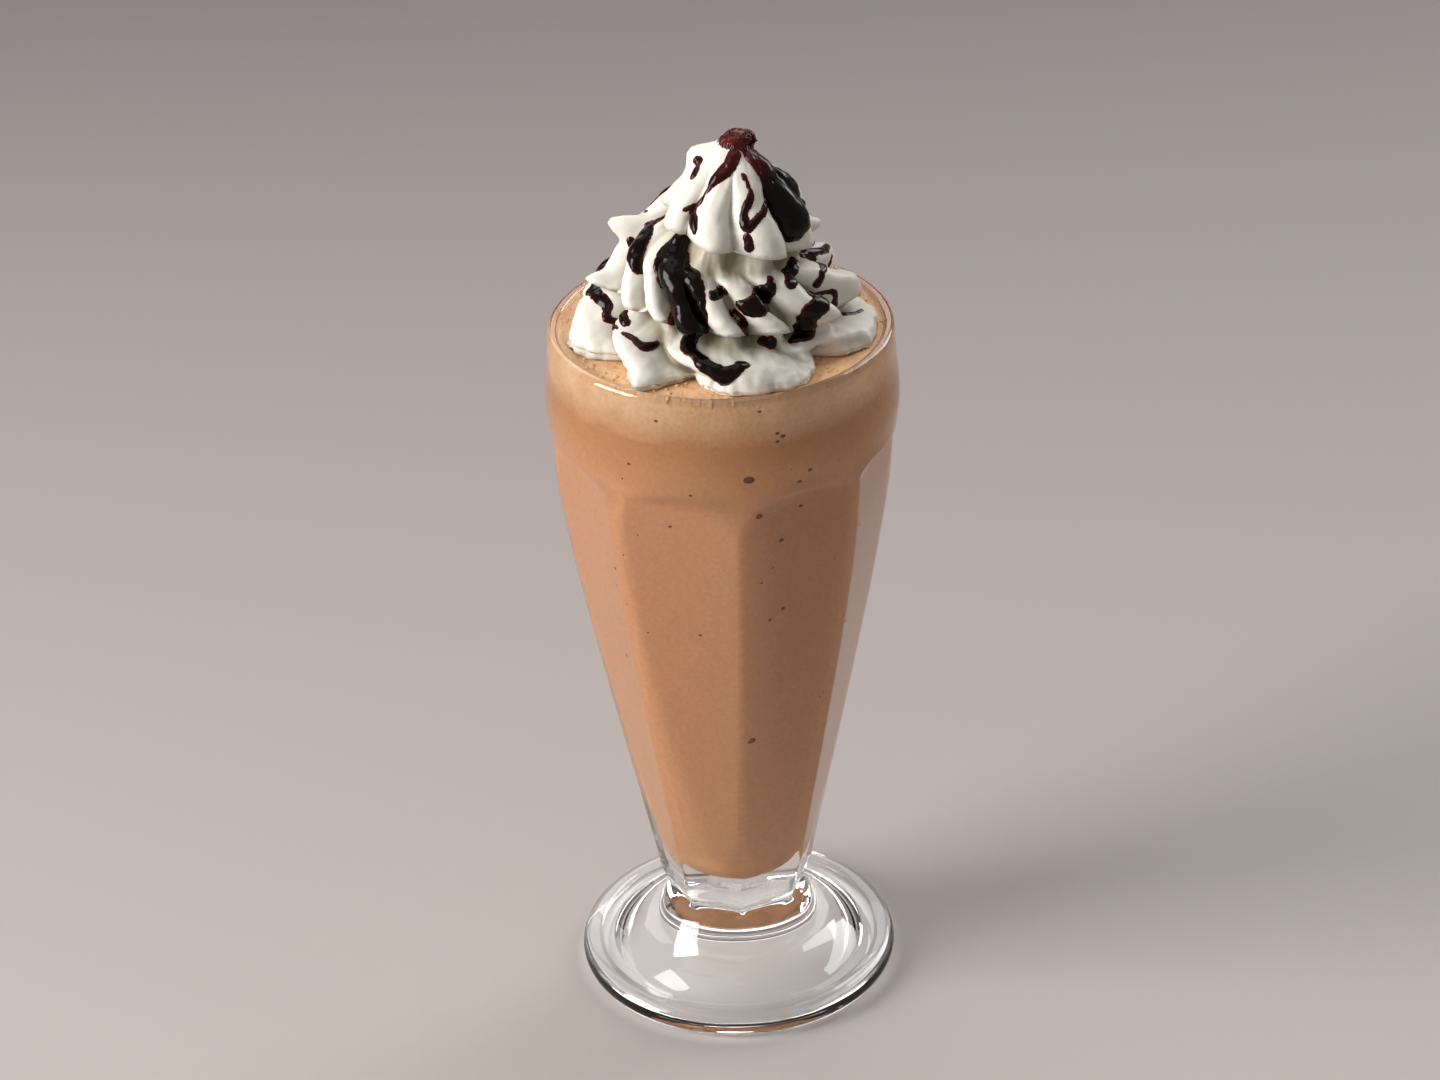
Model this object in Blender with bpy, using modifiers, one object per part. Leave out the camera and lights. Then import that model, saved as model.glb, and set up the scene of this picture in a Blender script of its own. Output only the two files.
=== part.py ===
# Chocolate milkshake in a footed soda fountain glass, with whipped cream and chocolate sauce.
#
# The part stands on Z = 0 with the glass's axis on Z, and its front faces -Y. Angles round the axis
# are measured from +X towards +Y, so the front is at 270 degrees. Lengths are in metres.

import math

import bmesh
import bpy
from mathutils import Vector, noise

MM = 0.001

# Driving dimensions of the glass
GLASS_HEIGHT = 187.0 * MM
FOOT_RADIUS = 41.6 * MM
BEAD_RADIUS = 3.2 * MM          # the round rib along the foot's edge
LIP_THICKNESS = 2.9 * MM
FLOOR_HEIGHT = 32.5 * MM        # the cavity's lowest point, over the solid base
PANEL_COUNT = 8
RIB_ANGLE = math.radians(274.0)  # one rib between two panels, a little right of the front
PANEL_DEPTH = 0.921             # a flat's distance from the axis, as a share of the rib's radius
ARCH_TOP = 160.8 * MM           # where a panel's rounded top ends
ARCH_FOOT = 155.5 * MM          # where two panels part at a rib
FLUTE_FOOT = 20.0 * MM          # where the panels have faded out, at the waist over the foot
FLUTE_DEEP = 24.5 * MM          # and where they are at full depth

# Outer radius of the glass over its height, from the foot's dome to the lip, in millimetres
OUTER_OUTLINE = (
    (5.2, 35.2), (6.8, 31.2), (9.2, 27.0), (12.6, 23.2), (16.4, 20.4), (19.8, 18.6), (22.4, 17.9),
    (23.8, 18.1), (25.2, 19.2), (27.0, 19.9), (33.0, 21.1), (50.0, 24.6), (75.0, 29.7), (105.0, 35.6),
    (120.0, 38.3), (135.0, 40.7), (145.0, 41.9), (155.0, 42.5), (162.0, 43.0), (168.0, 43.6),
    (175.0, 43.1), (185.6, 42.3),
)
# Radius of the cavity over its height, above its rounded floor, in millimetres
CAVITY_OUTLINE = (
    (39.5, 13.5), (43.0, 15.1), (50.0, 17.3), (60.0, 20.0), (75.0, 23.6), (90.0, 27.0), (105.0, 30.0),
    (120.0, 32.7), (135.0, 35.0), (145.0, 36.3), (155.0, 37.3), (165.0, 38.2), (175.0, 38.9),
    (185.6, 39.4),
)
FLOOR_CORNER = 6.6 * MM         # rounding between the cavity's floor and its wall
RECESS_RADIUS = 33.0 * MM       # the hollow under the foot
RECESS_HEIGHT = 15.5 * MM       # it is domed like the foot above it
GLASS_STEPS = 48

# Levels of the drink
GAP = 0.3 * MM
FROTH_BOTTOM = 173.4 * MM
FROTH_TOP = 185.2 * MM
DRINK_STEPS = 32

# Driving dimensions of the whipped cream
CREAM_BASE = FROTH_TOP + GAP
CREAM_TIP = 235.0 * MM
CREAM_TURNS = 2.8               # turns of the piped helix between the tip and the base
CREAM_COLUMNS = 76
CREAM_REACH = 38.9 * MM         # the widest the cream gets inside the rim
CREAM_LEAN = 5.6 * MM           # how far the tip leans to the right
LEAN_START = 205.0              # heights between which the lean comes in, in millimetres
LEAN_END = 238.0
SNAP = 0.03                     # rows within this share of a turn of the tip or base end on it
CREASE_WIDTH = 0.42             # share of a turn over which the strip comes out of the crease above it
CREASE_DEPTH = 2.8              # how deep the crease goes in under the turn above, in millimetres
CREASE_LIFT = 0.2               # and how far up behind its lower edge, in millimetres
GROOVE_SLANT = 30.0             # how far a groove drifts across a turn, in degrees
GROOVE_SPACING = 14.0           # grooves this far apart in millimetres have a full back between them
CREST_SKEW = 1.35               # over 1, a pleat's back leans towards its next groove
ARM_HEIGHT = 7.0                # height over which the base's arms rise into the turns, in millimetres
LOW_LIFT = 0.5                  # how much more the backs of the lowest turn rise as they swell
# Angles of the grooves along each turn's lower edge, in degrees from the front
TOP_GROOVES = (-262, -226, -188, -150, -112, -75, -35, 9, 55, 95, 137)
MIDDLE_GROOVES = (-182, -142, -106, -72, -48, -27, -7, 16, 40, 72, 108, 144)
BASE_GROOVES = (-164, -128, -100, -51, -14, 50, 124, 160)
# Thin lips where the nozzle pulled the cream out: angle, turns, reach in mm, half width in degrees
SPIKES = (
    (-104, 0.22, 3.4, 13), (-97, 0.92, 6.0, 5), (-128, 0.62, 3.5, 8), (104, 1.02, 4.5, 7),
    (150, 0.70, 4.0, 8), (-160, 1.30, 4.5, 7), (-84, 1.52, 3.5, 6), (168, 1.75, 4.0, 7),
)
# Height of the helical crease after so many turns down from the tip, in millimetres
CREASE_HEIGHT = (
    (0.0, 235.0), (0.25, 229.5), (0.5, 221.5), (0.75, 215.5), (1.0, 209.0), (1.25, 205.0),
    (1.5, 200.5), (1.75, 197.5), (2.0, 193.0), (2.25, 190.2), (2.5, 188.0), (2.8, 185.5),
)
# Mean radius of the cream over its height, in millimetres
CREAM_OUTLINE = (
    (185.5, 31.6), (188.0, 30.8), (192.0, 28.4), (197.0, 25.4), (203.0, 22.0), (211.0, 18.8),
    (217.0, 16.6), (223.0, 12.9), (228.0, 9.2), (232.0, 5.8), (234.0, 3.8), (235.0, 1.8),
)
# Places of the rows of faces across one turn of the helix, from crease to lower edge
ROW_PLACES = (0.0, 0.1, 0.26, 0.44, 0.62, 0.79, 0.92, 1.0)

# Thick sauce: each run is stops of (angle from the front in degrees, turns from the tip, width in mm)
SAUCE_RUNS = (
    ((-41, 0.86, 5.4), (-40, 0.94, 7.8), (-29, 1.10, 9.2), (-19, 1.31, 9.4), (-16, 1.49, 8.2),
     (-17, 1.80, 5.4), (-17, 1.96, 3.6)),
    ((-16, 1.99, 3.2), (-10, 2.05, 3.4), (-5, 2.17, 3.8), (0, 2.30, 4.6), (4, 2.21, 3.6), (8, 2.14, 3.4)),
    ((60, 0.16, 4.6), (52, 0.22, 6.2), (49, 0.30, 6.2), (51, 0.37, 5.6), (57, 0.44, 7.0), (63, 0.53, 9.2),
     (65, 0.61, 9.4), (62, 0.70, 6.6)),
    ((94, 0.66, 2.6), (100, 0.76, 3.0), (104, 0.86, 2.4)),
    ((-10, 0.13, 3.2), (-17, 0.22, 3.6), (-28, 0.29, 2.8)),
    ((-37, 0.50, 2.4), (-31, 0.54, 3.0), (-26, 0.58, 2.6)),
    ((34, 1.20, 2.4), (31, 1.28, 3.2), (25, 1.39, 5.2), (18, 1.42, 4.4)),
    ((65, 1.17, 3.0), (56, 1.23, 3.4), (45, 1.27, 3.0)),
    ((84, 1.24, 2.4), (102, 1.40, 2.4), (110, 1.55, 2.0)),
    ((-88, 0.82, 2.8), (-77, 0.90, 4.2), (-71, 1.01, 4.4), (-64, 1.13, 3.6)),
    ((53, 1.50, 3.0), (55, 1.60, 5.0), (46, 1.74, 4.6), (49, 2.03, 4.6), (44, 2.10, 3.2)),
    ((-93, 1.48, 4.0), (-105, 1.75, 6.2), (-98, 1.84, 5.2), (-83, 1.84, 3.0)),
    ((120, 0.45, 3.4), (124, 0.70, 5.2), (132, 1.00, 5.8), (138, 1.28, 3.8)),
    ((160, 0.95, 3.6), (166, 1.25, 5.8), (172, 1.60, 5.2), (177, 1.87, 3.2)),
    ((207, 0.34, 3.2), (212, 0.60, 4.6), (221, 0.93, 3.8)),
    ((227, 1.34, 3.8), (232, 1.65, 5.4), (237, 2.02, 3.4)),
)
SAUCE_STEP = 2.7 * MM
SAUCE_SINK = 0.27               # share of a run's width that its centre lies under the cream
SAUCE_BEVEL = 1
SAUCE_CAP_SIZE = (8.6 * MM, 8.0 * MM, 4.4 * MM)

COLLECTION = "chocolate_milkshake"


def clear_scene():
    for item in list(bpy.data.objects):
        bpy.data.objects.remove(item, do_unlink=True)


def new_collection(name):
    made = bpy.data.collections.new(name)
    bpy.context.scene.collection.children.link(made)
    return made


def make_material(name, colour, roughness, transmission=0.0):
    material = bpy.data.materials.new(name)
    material.use_nodes = True
    shader = material.node_tree.nodes["Principled BSDF"]
    shader.inputs["Base Color"].default_value = (*colour, 1.0)
    shader.inputs["Roughness"].default_value = roughness
    shader.inputs["Metallic"].default_value = 0.0
    shader.inputs["Transmission Weight"].default_value = transmission
    material.diffuse_color = (*colour, 1.0)
    return material


def smooth_value(table, place):
    """Read a table of (place, value) at a place, along a curve that never overshoots its points."""
    last = len(table) - 1
    if place <= table[0][0]:
        return table[0][1]
    if place >= table[last][0]:
        return table[last][1]
    spans = [table[i + 1][0] - table[i][0] for i in range(last)]
    slopes = [(table[i + 1][1] - table[i][1]) / spans[i] for i in range(last)]
    tangents = [slopes[0]]
    for i in range(1, last):
        before, after = slopes[i - 1], slopes[i]
        tangents.append(2 * before * after / (before + after) if before * after > 0 else 0.0)
    tangents.append(slopes[-1])
    i = max(k for k in range(last) if table[k][0] <= place)
    t = (place - table[i][0]) / spans[i]
    return (
        table[i][1] * (1 + 2 * t) * (1 - t) ** 2 + tangents[i] * spans[i] * t * (1 - t) ** 2
        + table[i + 1][1] * t * t * (3 - 2 * t) + tangents[i + 1] * spans[i] * t * t * (t - 1)
    )


def smooth_step(low, high, value):
    t = min(1.0, max(0.0, (value - low) / (high - low)))
    return t * t * (3 - 2 * t)


def outer_radius(height):
    return smooth_value(OUTER_OUTLINE, height / MM) * MM


def cavity_radius(height):
    return smooth_value(CAVITY_OUTLINE, height / MM) * MM


def arc(centre, radius, start, end, count):
    """Points (radius, height) on an arc, with its angles in degrees."""
    angles = [math.radians(start + (end - start) * i / count) for i in range(count + 1)]
    return [(centre[0] + radius * math.cos(a), centre[1] + radius * math.sin(a)) for a in angles]


def turned(name, outline, steps, collection):
    """Turn an outline of (radius, height) about Z. At +X it runs down the outer side."""
    mesh = bpy.data.meshes.new(name)
    edges = [(i, i + 1) for i in range(len(outline) - 1)]
    mesh.from_pydata([(radius, 0.0, height) for radius, height in outline], edges, [])
    made = bpy.data.objects.new(name, mesh)
    collection.objects.link(made)
    screw = made.modifiers.new("turn", "SCREW")
    screw.steps = steps
    screw.render_steps = steps
    screw.use_merge_vertices = True
    screw.merge_threshold = 0.00005
    screw.use_smooth_shade = False
    return made


def bake(item):
    """Replace an object's mesh by its evaluated one, without its modifiers."""
    graph = bpy.context.evaluated_depsgraph_get()
    mesh = bpy.data.meshes.new_from_object(item.evaluated_get(graph))
    item.modifiers.clear()
    item.data = mesh
    return mesh


def finish_shading(item, material, angle=35.0):
    item.data.materials.clear()
    item.data.materials.append(material)
    item.data.shade_smooth()
    item.data.set_sharp_from_angle(angle=math.radians(angle))


def glass_outline():
    """The whole section of the glass: up inside, over the lip, down outside and under the foot."""
    corner = (CAVITY_OUTLINE[0][1] * MM - FLOOR_CORNER * 1.06, FLOOR_HEIGHT + FLOOR_CORNER)
    inside = [(0.0, FLOOR_HEIGHT)] + arc(corner, FLOOR_CORNER, 270, 355, 4)
    inside += [(cavity_radius(h * MM), h * MM) for h in (43, 52, 65, 82, 100, 118, 134, 146, 157, 170, 180)]
    lip_half = LIP_THICKNESS / 2
    lip_middle = (outer_radius(GLASS_HEIGHT - lip_half) - lip_half, GLASS_HEIGHT - lip_half)
    lip = arc(lip_middle, lip_half, 180, 0, 6)
    outside = [(outer_radius(h * MM), h * MM) for h in (
        181, 176, 172, 168, 164, 161, 157, 150, 140, 125, 105, 80, 55, 36, 27.5, 25.6, 24, 22.4,
        20.8, 18.8, 16.4, 14, 11.4, 9, 6.8)]
    bead_middle = (FOOT_RADIUS - BEAD_RADIUS, BEAD_RADIUS)
    bead = arc(bead_middle, BEAD_RADIUS, 138, -90, 10)
    under = [(RECESS_RADIUS * share, RECESS_HEIGHT * (1.0 - share ** 2))
             for share in (1.0, 0.88, 0.72, 0.54, 0.3, 0.0)]
    return inside + lip + outside + bead + under


def panel_distance(height):
    """Distance of a flat from the axis: full depth along the cup, rounded off at the arch and waist."""
    rise = min(1.0, max(0.0, (height - ARCH_FOOT) / (ARCH_TOP - ARCH_FOOT)))
    depth = math.sqrt(1.0 - rise * rise) * smooth_step(FLUTE_FOOT, FLUTE_DEEP, height)
    return outer_radius(height) * (1.0 - (1.0 - PANEL_DEPTH) * depth)


def panel_cutter(index, collection):
    """A slab whose inner side is one flat of the glass, from the foot's flutes up to the arch."""
    heights = [FLUTE_FOOT + (FLUTE_DEEP - FLUTE_FOOT) * share for share in (0.0, 0.25, 0.5, 0.75, 1.0)]
    heights += [h * MM for h in (26, 27.5, 40, 58, 80, 105, 122, 136, 146)]
    heights += [ARCH_FOOT + (ARCH_TOP - ARCH_FOOT) * share for share in (0.0, 0.38, 0.66, 0.85, 0.96, 1.0)]
    inner = [(panel_distance(h), h) for h in heights]
    clear = FOOT_RADIUS * 1.3
    outline = [(clear, FLUTE_FOOT - 0.3 * MM), (inner[0][0] + 0.6 * MM, FLUTE_FOOT - 0.3 * MM)] + inner
    outline += [(inner[-1][0] + 1.6 * MM, ARCH_TOP + 2.4 * MM), (clear, ARCH_TOP + 2.4 * MM)]
    curve = bpy.data.curves.new("panel_cutter", "CURVE")
    curve.dimensions = "2D"
    curve.fill_mode = "BOTH"
    curve.extrude = FOOT_RADIUS * 0.62
    spline = curve.splines.new("POLY")
    spline.points.add(len(outline) - 1)
    for point, (distance, height) in zip(spline.points, outline):
        point.co = (distance, height, 0.0, 1.0)
    spline.use_cyclic_u = True
    flat = bpy.data.objects.new("panel_cutter", curve)
    collection.objects.link(flat)
    angle = RIB_ANGLE + (index + 0.5) * 2 * math.pi / PANEL_COUNT
    flat.rotation_euler = (math.pi / 2, 0.0, angle)
    bpy.context.view_layer.update()
    graph = bpy.context.evaluated_depsgraph_get()
    mesh = bpy.data.meshes.new_from_object(flat.evaluated_get(graph))
    weld(mesh)
    cutter = bpy.data.objects.new(f"panel_cutter_{index + 1}", mesh)
    cutter.matrix_world = flat.matrix_world
    collection.objects.link(cutter)
    bpy.data.objects.remove(flat, do_unlink=True)
    cutter.hide_render = True
    cutter.display_type = "WIRE"
    return cutter


def weld(mesh, distance=0.00001):
    work = bmesh.new()
    work.from_mesh(mesh)
    bmesh.ops.remove_doubles(work, verts=work.verts, dist=distance)
    bmesh.ops.dissolve_degenerate(work, edges=work.edges, dist=distance)
    bmesh.ops.recalc_face_normals(work, faces=work.faces)
    work.to_mesh(mesh)
    work.free()


def make_glass(parts, cutters):
    glass = turned("glass", glass_outline(), GLASS_STEPS, parts)
    for index in range(PANEL_COUNT):
        panel_cutter(index, cutters)
    cut = glass.modifiers.new("panels", "BOOLEAN")
    cut.operation = "DIFFERENCE"
    cut.solver = "EXACT"
    cut.operand_type = "COLLECTION"
    cut.collection = cutters
    finish_shading(glass, make_material("clear_soda_glass", (0.93, 0.95, 0.95), 0.03, 1.0))
    return glass


def make_milkshake(parts):
    """The drink under the froth: it fills the round cavity from its floor."""
    corner_radius = FLOOR_CORNER - GAP
    corner = (CAVITY_OUTLINE[0][1] * MM - FLOOR_CORNER * 1.06, FLOOR_HEIGHT + FLOOR_CORNER)
    heights = [FROTH_BOTTOM - GAP] + [h * MM for h in (165, 157, 146, 134, 118, 100, 82, 65, 52, 43)]
    outline = [(0.0, FROTH_BOTTOM - GAP)]
    outline += [(cavity_radius(h) - GAP, h) for h in heights]
    outline += arc(corner, corner_radius, 355, 270, 4)
    outline += [(0.0, FLOOR_HEIGHT + GAP)]
    shake = turned("milkshake", outline, DRINK_STEPS, parts)
    finish_shading(shake, make_material("milkshake_brown", (0.42, 0.20, 0.10), 0.45))
    return shake


def make_froth(parts):
    """The paler layer of froth on the drink, seen through the band of the glass and from above."""
    heights = [FROTH_TOP - 0.8 * MM, 180 * MM, 176 * MM, FROTH_BOTTOM]
    outline = [(0.0, FROTH_TOP), (cavity_radius(FROTH_TOP) - GAP - 1.2 * MM, FROTH_TOP)]
    outline += [(cavity_radius(h) - GAP, h) for h in heights]
    outline += [(0.0, FROTH_BOTTOM)]
    froth = turned("froth", outline, GLASS_STEPS, parts)
    finish_shading(froth, make_material("froth_tan", (0.64, 0.36, 0.20), 0.6))
    return froth


GROOVES = ([float(a) for a in TOP_GROOVES] + [a + 360.0 for a in MIDDLE_GROOVES]
           + [a + 720.0 for a in BASE_GROOVES])


def between(marks, angle):
    """Which two marks an angle lies between: the distance between them, and the share of it."""
    i = max((k for k in range(len(marks) - 1) if marks[k] <= angle), default=0)
    gap = marks[i + 1] - marks[i]
    return gap, min(1.0, max(0.0, (angle - marks[i]) / gap))


def pleat(gap, share, radius, roundness):
    """The rope's relief from -1 in a groove to about 1 on the back between two far grooves."""
    width = math.radians(gap) * radius
    height = min(1.15, (width / GROOVE_SPACING) ** 1.3)
    return 2.0 * height * (1.0 - abs(2.0 * share - 1.0) ** roundness) - 1.0


def pleat_wave(along, place, radius):
    """The pleats of the turns, which slant down and round."""
    angle = (along + 0.25) * 360.0 + GROOVE_SLANT * (1.0 - place)
    gap, share = between(GROOVES, angle)
    return pleat(gap, share ** CREST_SKEW, radius, 2.0)


def base_wave(angle, radius, rise):
    """The cream's star-shaped foot: its arms lie at uneven angles and narrow to ridges as they rise."""
    front_angle = (math.degrees(angle) - 270.0 - BASE_GROOVES[0]) % 360.0
    marks = [mark - BASE_GROOVES[0] for mark in BASE_GROOVES] + [360.0]
    gap, share = between(marks, front_angle)
    return pleat(gap, share, radius, (1.15 + 1.8 * smooth_step(40.0, 70.0, gap)) * (1.0 - 0.6 * rise))


def spikes(turns, angle):
    """How far the thin lips stand out at a point of the helix, in millimetres."""
    front_angle = math.degrees(angle) - 270.0
    total = 0.0
    for spike_angle, spike_turns, reach, half_width in SPIKES:
        aside = ((front_angle - spike_angle + 180.0) % 360.0 - 180.0) / half_width
        along = (turns - spike_turns) / 0.09
        total += reach * math.exp(-aside * aside - along * along)
    return total


def strip_section(along, angle, place):
    """Reach from the axis and level of the cream's strip, in mm, and how free it is of tip and base."""
    depth = along + place
    depth = CREAM_TURNS if depth > CREAM_TURNS - SNAP else max(depth, 0.0)
    depth = 0.0 if depth < SNAP else depth
    height = smooth_value(CREASE_HEIGHT, depth)
    mean = smooth_value(CREAM_OUTLINE, height)
    base = CREAM_BASE / MM
    rise = min(1.0, (height - base) / ARM_HEIGHT)
    near_base = 1.0 - smooth_step(0.0, 1.0, rise)
    near_tip = smooth_step(226.0, CREAM_TIP / MM, height)
    wave = pleat_wave(along, place, mean) * (1.0 - near_base) + base_wave(angle, mean, rise) * near_base
    full = 0.45 + 0.55 * smooth_step(5.0, 24.0, mean)
    bulge = (2.1 * smooth_step(-0.1, 0.6, place) - 0.7 * smooth_step(0.86, 1.0, place)) * full
    bulge = bulge * (1.0 - near_base) * (1.0 - near_tip) + 0.4 * near_base
    share = (0.08 + 0.09 * smooth_step(0.1, 0.95, place)) * (1.0 - near_base) + 0.19 * near_base
    relief = bulge + share * mean * wave * (1.0 - near_tip)
    lump = noise.noise(Vector((math.cos(angle) * mean, math.sin(angle) * mean, height)) * 0.085)
    lip = spikes(depth, angle)
    reach = mean + relief * 0.86 + lump * 1.1 * (1.0 - near_tip) + lip
    droop = smooth_step(0.45, 1.0, place) * (0.4 + 1.0 * (wave + 1.0))
    hang = smooth_step(base + 1.0, base + 9.0, height) * (1.0 - near_tip)
    low = 1.0 - smooth_step(base + 3.0, base + 16.0, height)
    lift = (0.38 + LOW_LIFT * low) * smooth_step(0.25, 0.9, place)
    clear = smooth_step(base + 3.0, base + 11.0, height) * (1.0 - near_tip)
    level = height + relief * lift * clear - droop * hang + 0.35 * lip
    return reach, level, (1.0 - near_base) * (1.0 - near_tip)


def cream_point(turn, angle, place):
    """A point on the cream: which turn of the helix, the angle round it, the place across it."""
    along = turn + angle / (2 * math.pi)
    reach, level, _ = strip_section(along, angle, place)
    if place < CREASE_WIDTH and along + place < CREAM_TURNS - SNAP:
        edge_reach, edge_level, edge_free = strip_section(along - 1.0, angle, 1.0)
        own = smooth_step(0.0, CREASE_WIDTH * 0.5, place)
        level = min(level, edge_level) * own + (edge_level + CREASE_LIFT * edge_free) * (1.0 - own)
        own = smooth_step(CREASE_WIDTH * 0.15, CREASE_WIDTH, place)
        reach = reach * own + (edge_reach - CREASE_DEPTH * edge_free) * (1.0 - own)
    level = max(level, CREAM_BASE / MM)
    soft_reach = CREAM_REACH / MM - 2.0
    if reach > soft_reach and level < 192.0:
        reach = soft_reach + 2.0 * math.tanh((reach - soft_reach) / 2.0)
    lean = CREAM_LEAN * smooth_step(LEAN_START, LEAN_END, level)
    return Vector((reach * MM * math.cos(angle) + lean, reach * MM * math.sin(angle), level * MM))


def cream_mesh(columns, places):
    """One closed skin: rows that follow the helix, a small cap at the tip and a flat base."""
    work = bmesh.new()
    first_turn = -1
    last_turn = math.ceil(CREAM_TURNS)
    rows = [(turn, place) for turn in range(first_turn, last_turn) for place in places]
    per_turn = len(places)
    grid = []
    for turn, place in rows:
        angles = [2 * math.pi * j / columns for j in range(columns)]
        grid.append([work.verts.new(cream_point(turn, angle, place)) for angle in angles])
    for i in range(len(rows) - 1):
        for j in range(columns - 1):
            work.faces.new((grid[i][j], grid[i + 1][j], grid[i + 1][j + 1], grid[i][j + 1]))
        if i + per_turn + 1 < len(rows):
            seam = (grid[i][-1], grid[i + 1][-1], grid[i + per_turn + 1][0], grid[i + per_turn][0])
            work.faces.new(seam)
    bmesh.ops.remove_doubles(work, verts=work.verts, dist=0.00002)
    loose = [edge for edge in work.edges if edge.is_boundary]
    bmesh.ops.holes_fill(work, edges=loose, sides=0)
    bmesh.ops.triangulate(work, faces=[face for face in work.faces if len(face.verts) > 4])
    bmesh.ops.recalc_face_normals(work, faces=work.faces)
    mesh = bpy.data.meshes.new("whipped_cream")
    work.to_mesh(mesh)
    work.free()
    return mesh


def cream_surface(front_angle, turns):
    """The cream's skin at an angle from the front in degrees and so many turns down from the tip."""
    share = ((270.0 + front_angle) % 360.0) / 360.0
    turn = math.floor(turns - share)
    return cream_point(turn, share * 2 * math.pi, turns - share - turn)


def spline_value(values, place):
    """Catmull-Rom through equally spaced values."""
    i = min(int(place), len(values) - 2)
    t = place - i
    before = values[max(i - 1, 0)]
    after = values[min(i + 2, len(values) - 1)]
    start, end = values[i], values[i + 1]
    return 0.5 * (2 * start + (end - before) * t + (2 * before - 5 * start + 4 * end - after) * t * t
                  + (3 * start - before - 3 * end + after) * t ** 3)


def sauce_path(run):
    """Points and radii along one run of sauce, sunk a little into the cream it lies on."""
    length = sum((cream_surface(*run[i][:2]) - cream_surface(*run[i + 1][:2])).length
                 for i in range(len(run) - 1))
    count = max(4, round(length / SAUCE_STEP))
    points = []
    for i in range(count + 1):
        place = (len(run) - 1) * i / count
        front_angle, turns, width = (spline_value([stop[k] for stop in run], place) for k in range(3))
        angle = math.radians(270.0 + front_angle)
        out = Vector((math.cos(angle), math.sin(angle), 0.75)).normalized()
        taper = 0.55 if i in (0, count) else 1.0
        half = width * MM / 2 * taper
        points.append((cream_surface(front_angle, turns) - out * half * 2 * SAUCE_SINK, half))
    smoothed = [points[0]]
    for i in range(1, count):
        middle = (points[i - 1][0] + points[i][0] * 2 + points[i + 1][0]) / 4
        smoothed.append((middle, points[i][1]))
    return smoothed + [points[-1]]


def sauce_run(index, run, collection):
    """A run of sauce as a tube of changing width with closed ends."""
    curve = bpy.data.curves.new("sauce_run", "CURVE")
    curve.dimensions = "3D"
    curve.bevel_depth = 1.0
    curve.bevel_resolution = SAUCE_BEVEL
    curve.use_fill_caps = True
    path = sauce_path(run)
    spline = curve.splines.new("POLY")
    spline.points.add(len(path) - 1)
    for point, (place, half) in zip(spline.points, path):
        point.co = (*place, 1.0)
        point.radius = half
    line = bpy.data.objects.new("sauce_run", curve)
    collection.objects.link(line)
    bpy.context.view_layer.update()
    graph = bpy.context.evaluated_depsgraph_get()
    mesh = bpy.data.meshes.new_from_object(line.evaluated_get(graph))
    weld(mesh)
    tube = bpy.data.objects.new(f"sauce_run_{index + 1}", mesh)
    tube.matrix_world = line.matrix_world
    collection.objects.link(tube)
    bpy.data.objects.remove(line, do_unlink=True)
    return tube


def sauce_cap(collection):
    """The pool of sauce on the tip of the cream."""
    mesh = bpy.data.meshes.new("sauce_cap")
    work = bmesh.new()
    bmesh.ops.create_uvsphere(work, u_segments=12, v_segments=7, radius=1.0)
    bmesh.ops.scale(work, verts=work.verts, vec=Vector(SAUCE_CAP_SIZE) / 2)
    place = Vector((CREAM_LEAN, 0.0, CREAM_TIP - 0.9 * MM))
    bmesh.ops.translate(work, verts=work.verts, vec=place)
    work.to_mesh(mesh)
    work.free()
    cap = bpy.data.objects.new("sauce_cap", mesh)
    collection.objects.link(cap)
    return cap


def keep_largest_shell(mesh):
    """Drop the loose scraps and sealed hollows that a union leaves."""
    work = bmesh.new()
    work.from_mesh(mesh)
    left = set(work.verts)
    shells = []
    while left:
        shell = set()
        edge = {left.pop()}
        while edge:
            shell |= edge
            edge = {e.other_vert(v) for v in edge for e in v.link_edges} - shell
        left -= shell
        shells.append(shell)
    largest = max(shells, key=len)
    spare = [v for shell in shells if shell is not largest for v in shell]
    bmesh.ops.delete(work, geom=spare, context="VERTS")
    work.to_mesh(mesh)
    work.free()


def make_whipped_cream(parts):
    """The piped cream, with its thick runs of sauce fused to it."""
    cream = bpy.data.objects.new("whipped_cream", cream_mesh(CREAM_COLUMNS, ROW_PLACES))
    parts.objects.link(cream)
    sauce = new_collection("sauce")
    for index, run in enumerate(SAUCE_RUNS):
        sauce_run(index, run, sauce)
    sauce_cap(sauce)
    union = cream.modifiers.new("sauce", "BOOLEAN")
    union.operation = "UNION"
    union.solver = "EXACT"
    union.operand_type = "COLLECTION"
    union.collection = sauce
    bpy.context.view_layer.update()
    bake(cream)
    for item in list(sauce.objects):
        bpy.data.objects.remove(item, do_unlink=True)
    bpy.data.collections.remove(sauce)
    keep_largest_shell(cream.data)
    finish_shading(cream, make_material("whipped_cream_white", (0.9, 0.88, 0.83), 0.5), 60.0)
    return cream


def build():
    clear_scene()
    parts = new_collection(COLLECTION)
    cutters = new_collection("cutters")
    make_glass(parts, cutters)
    make_milkshake(parts)
    make_froth(parts)
    make_whipped_cream(parts)


build()
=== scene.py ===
# %% [markdown]
# # Chocolate milkshake in a soda fountain glass
#
# The real thing is a heavy footed glass of clear pressed glass, filled with an opaque milkshake, a
# paler layer of froth, a piped swirl of whipped cream and dark chocolate sauce. This lesson loads
# the plain solids of the construction model, and puts a finely made piece in the place of each.

# %% Load the construction model
import math

import bmesh
import bpy
import numpy as np
from mathutils import Matrix, Vector, noise


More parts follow.
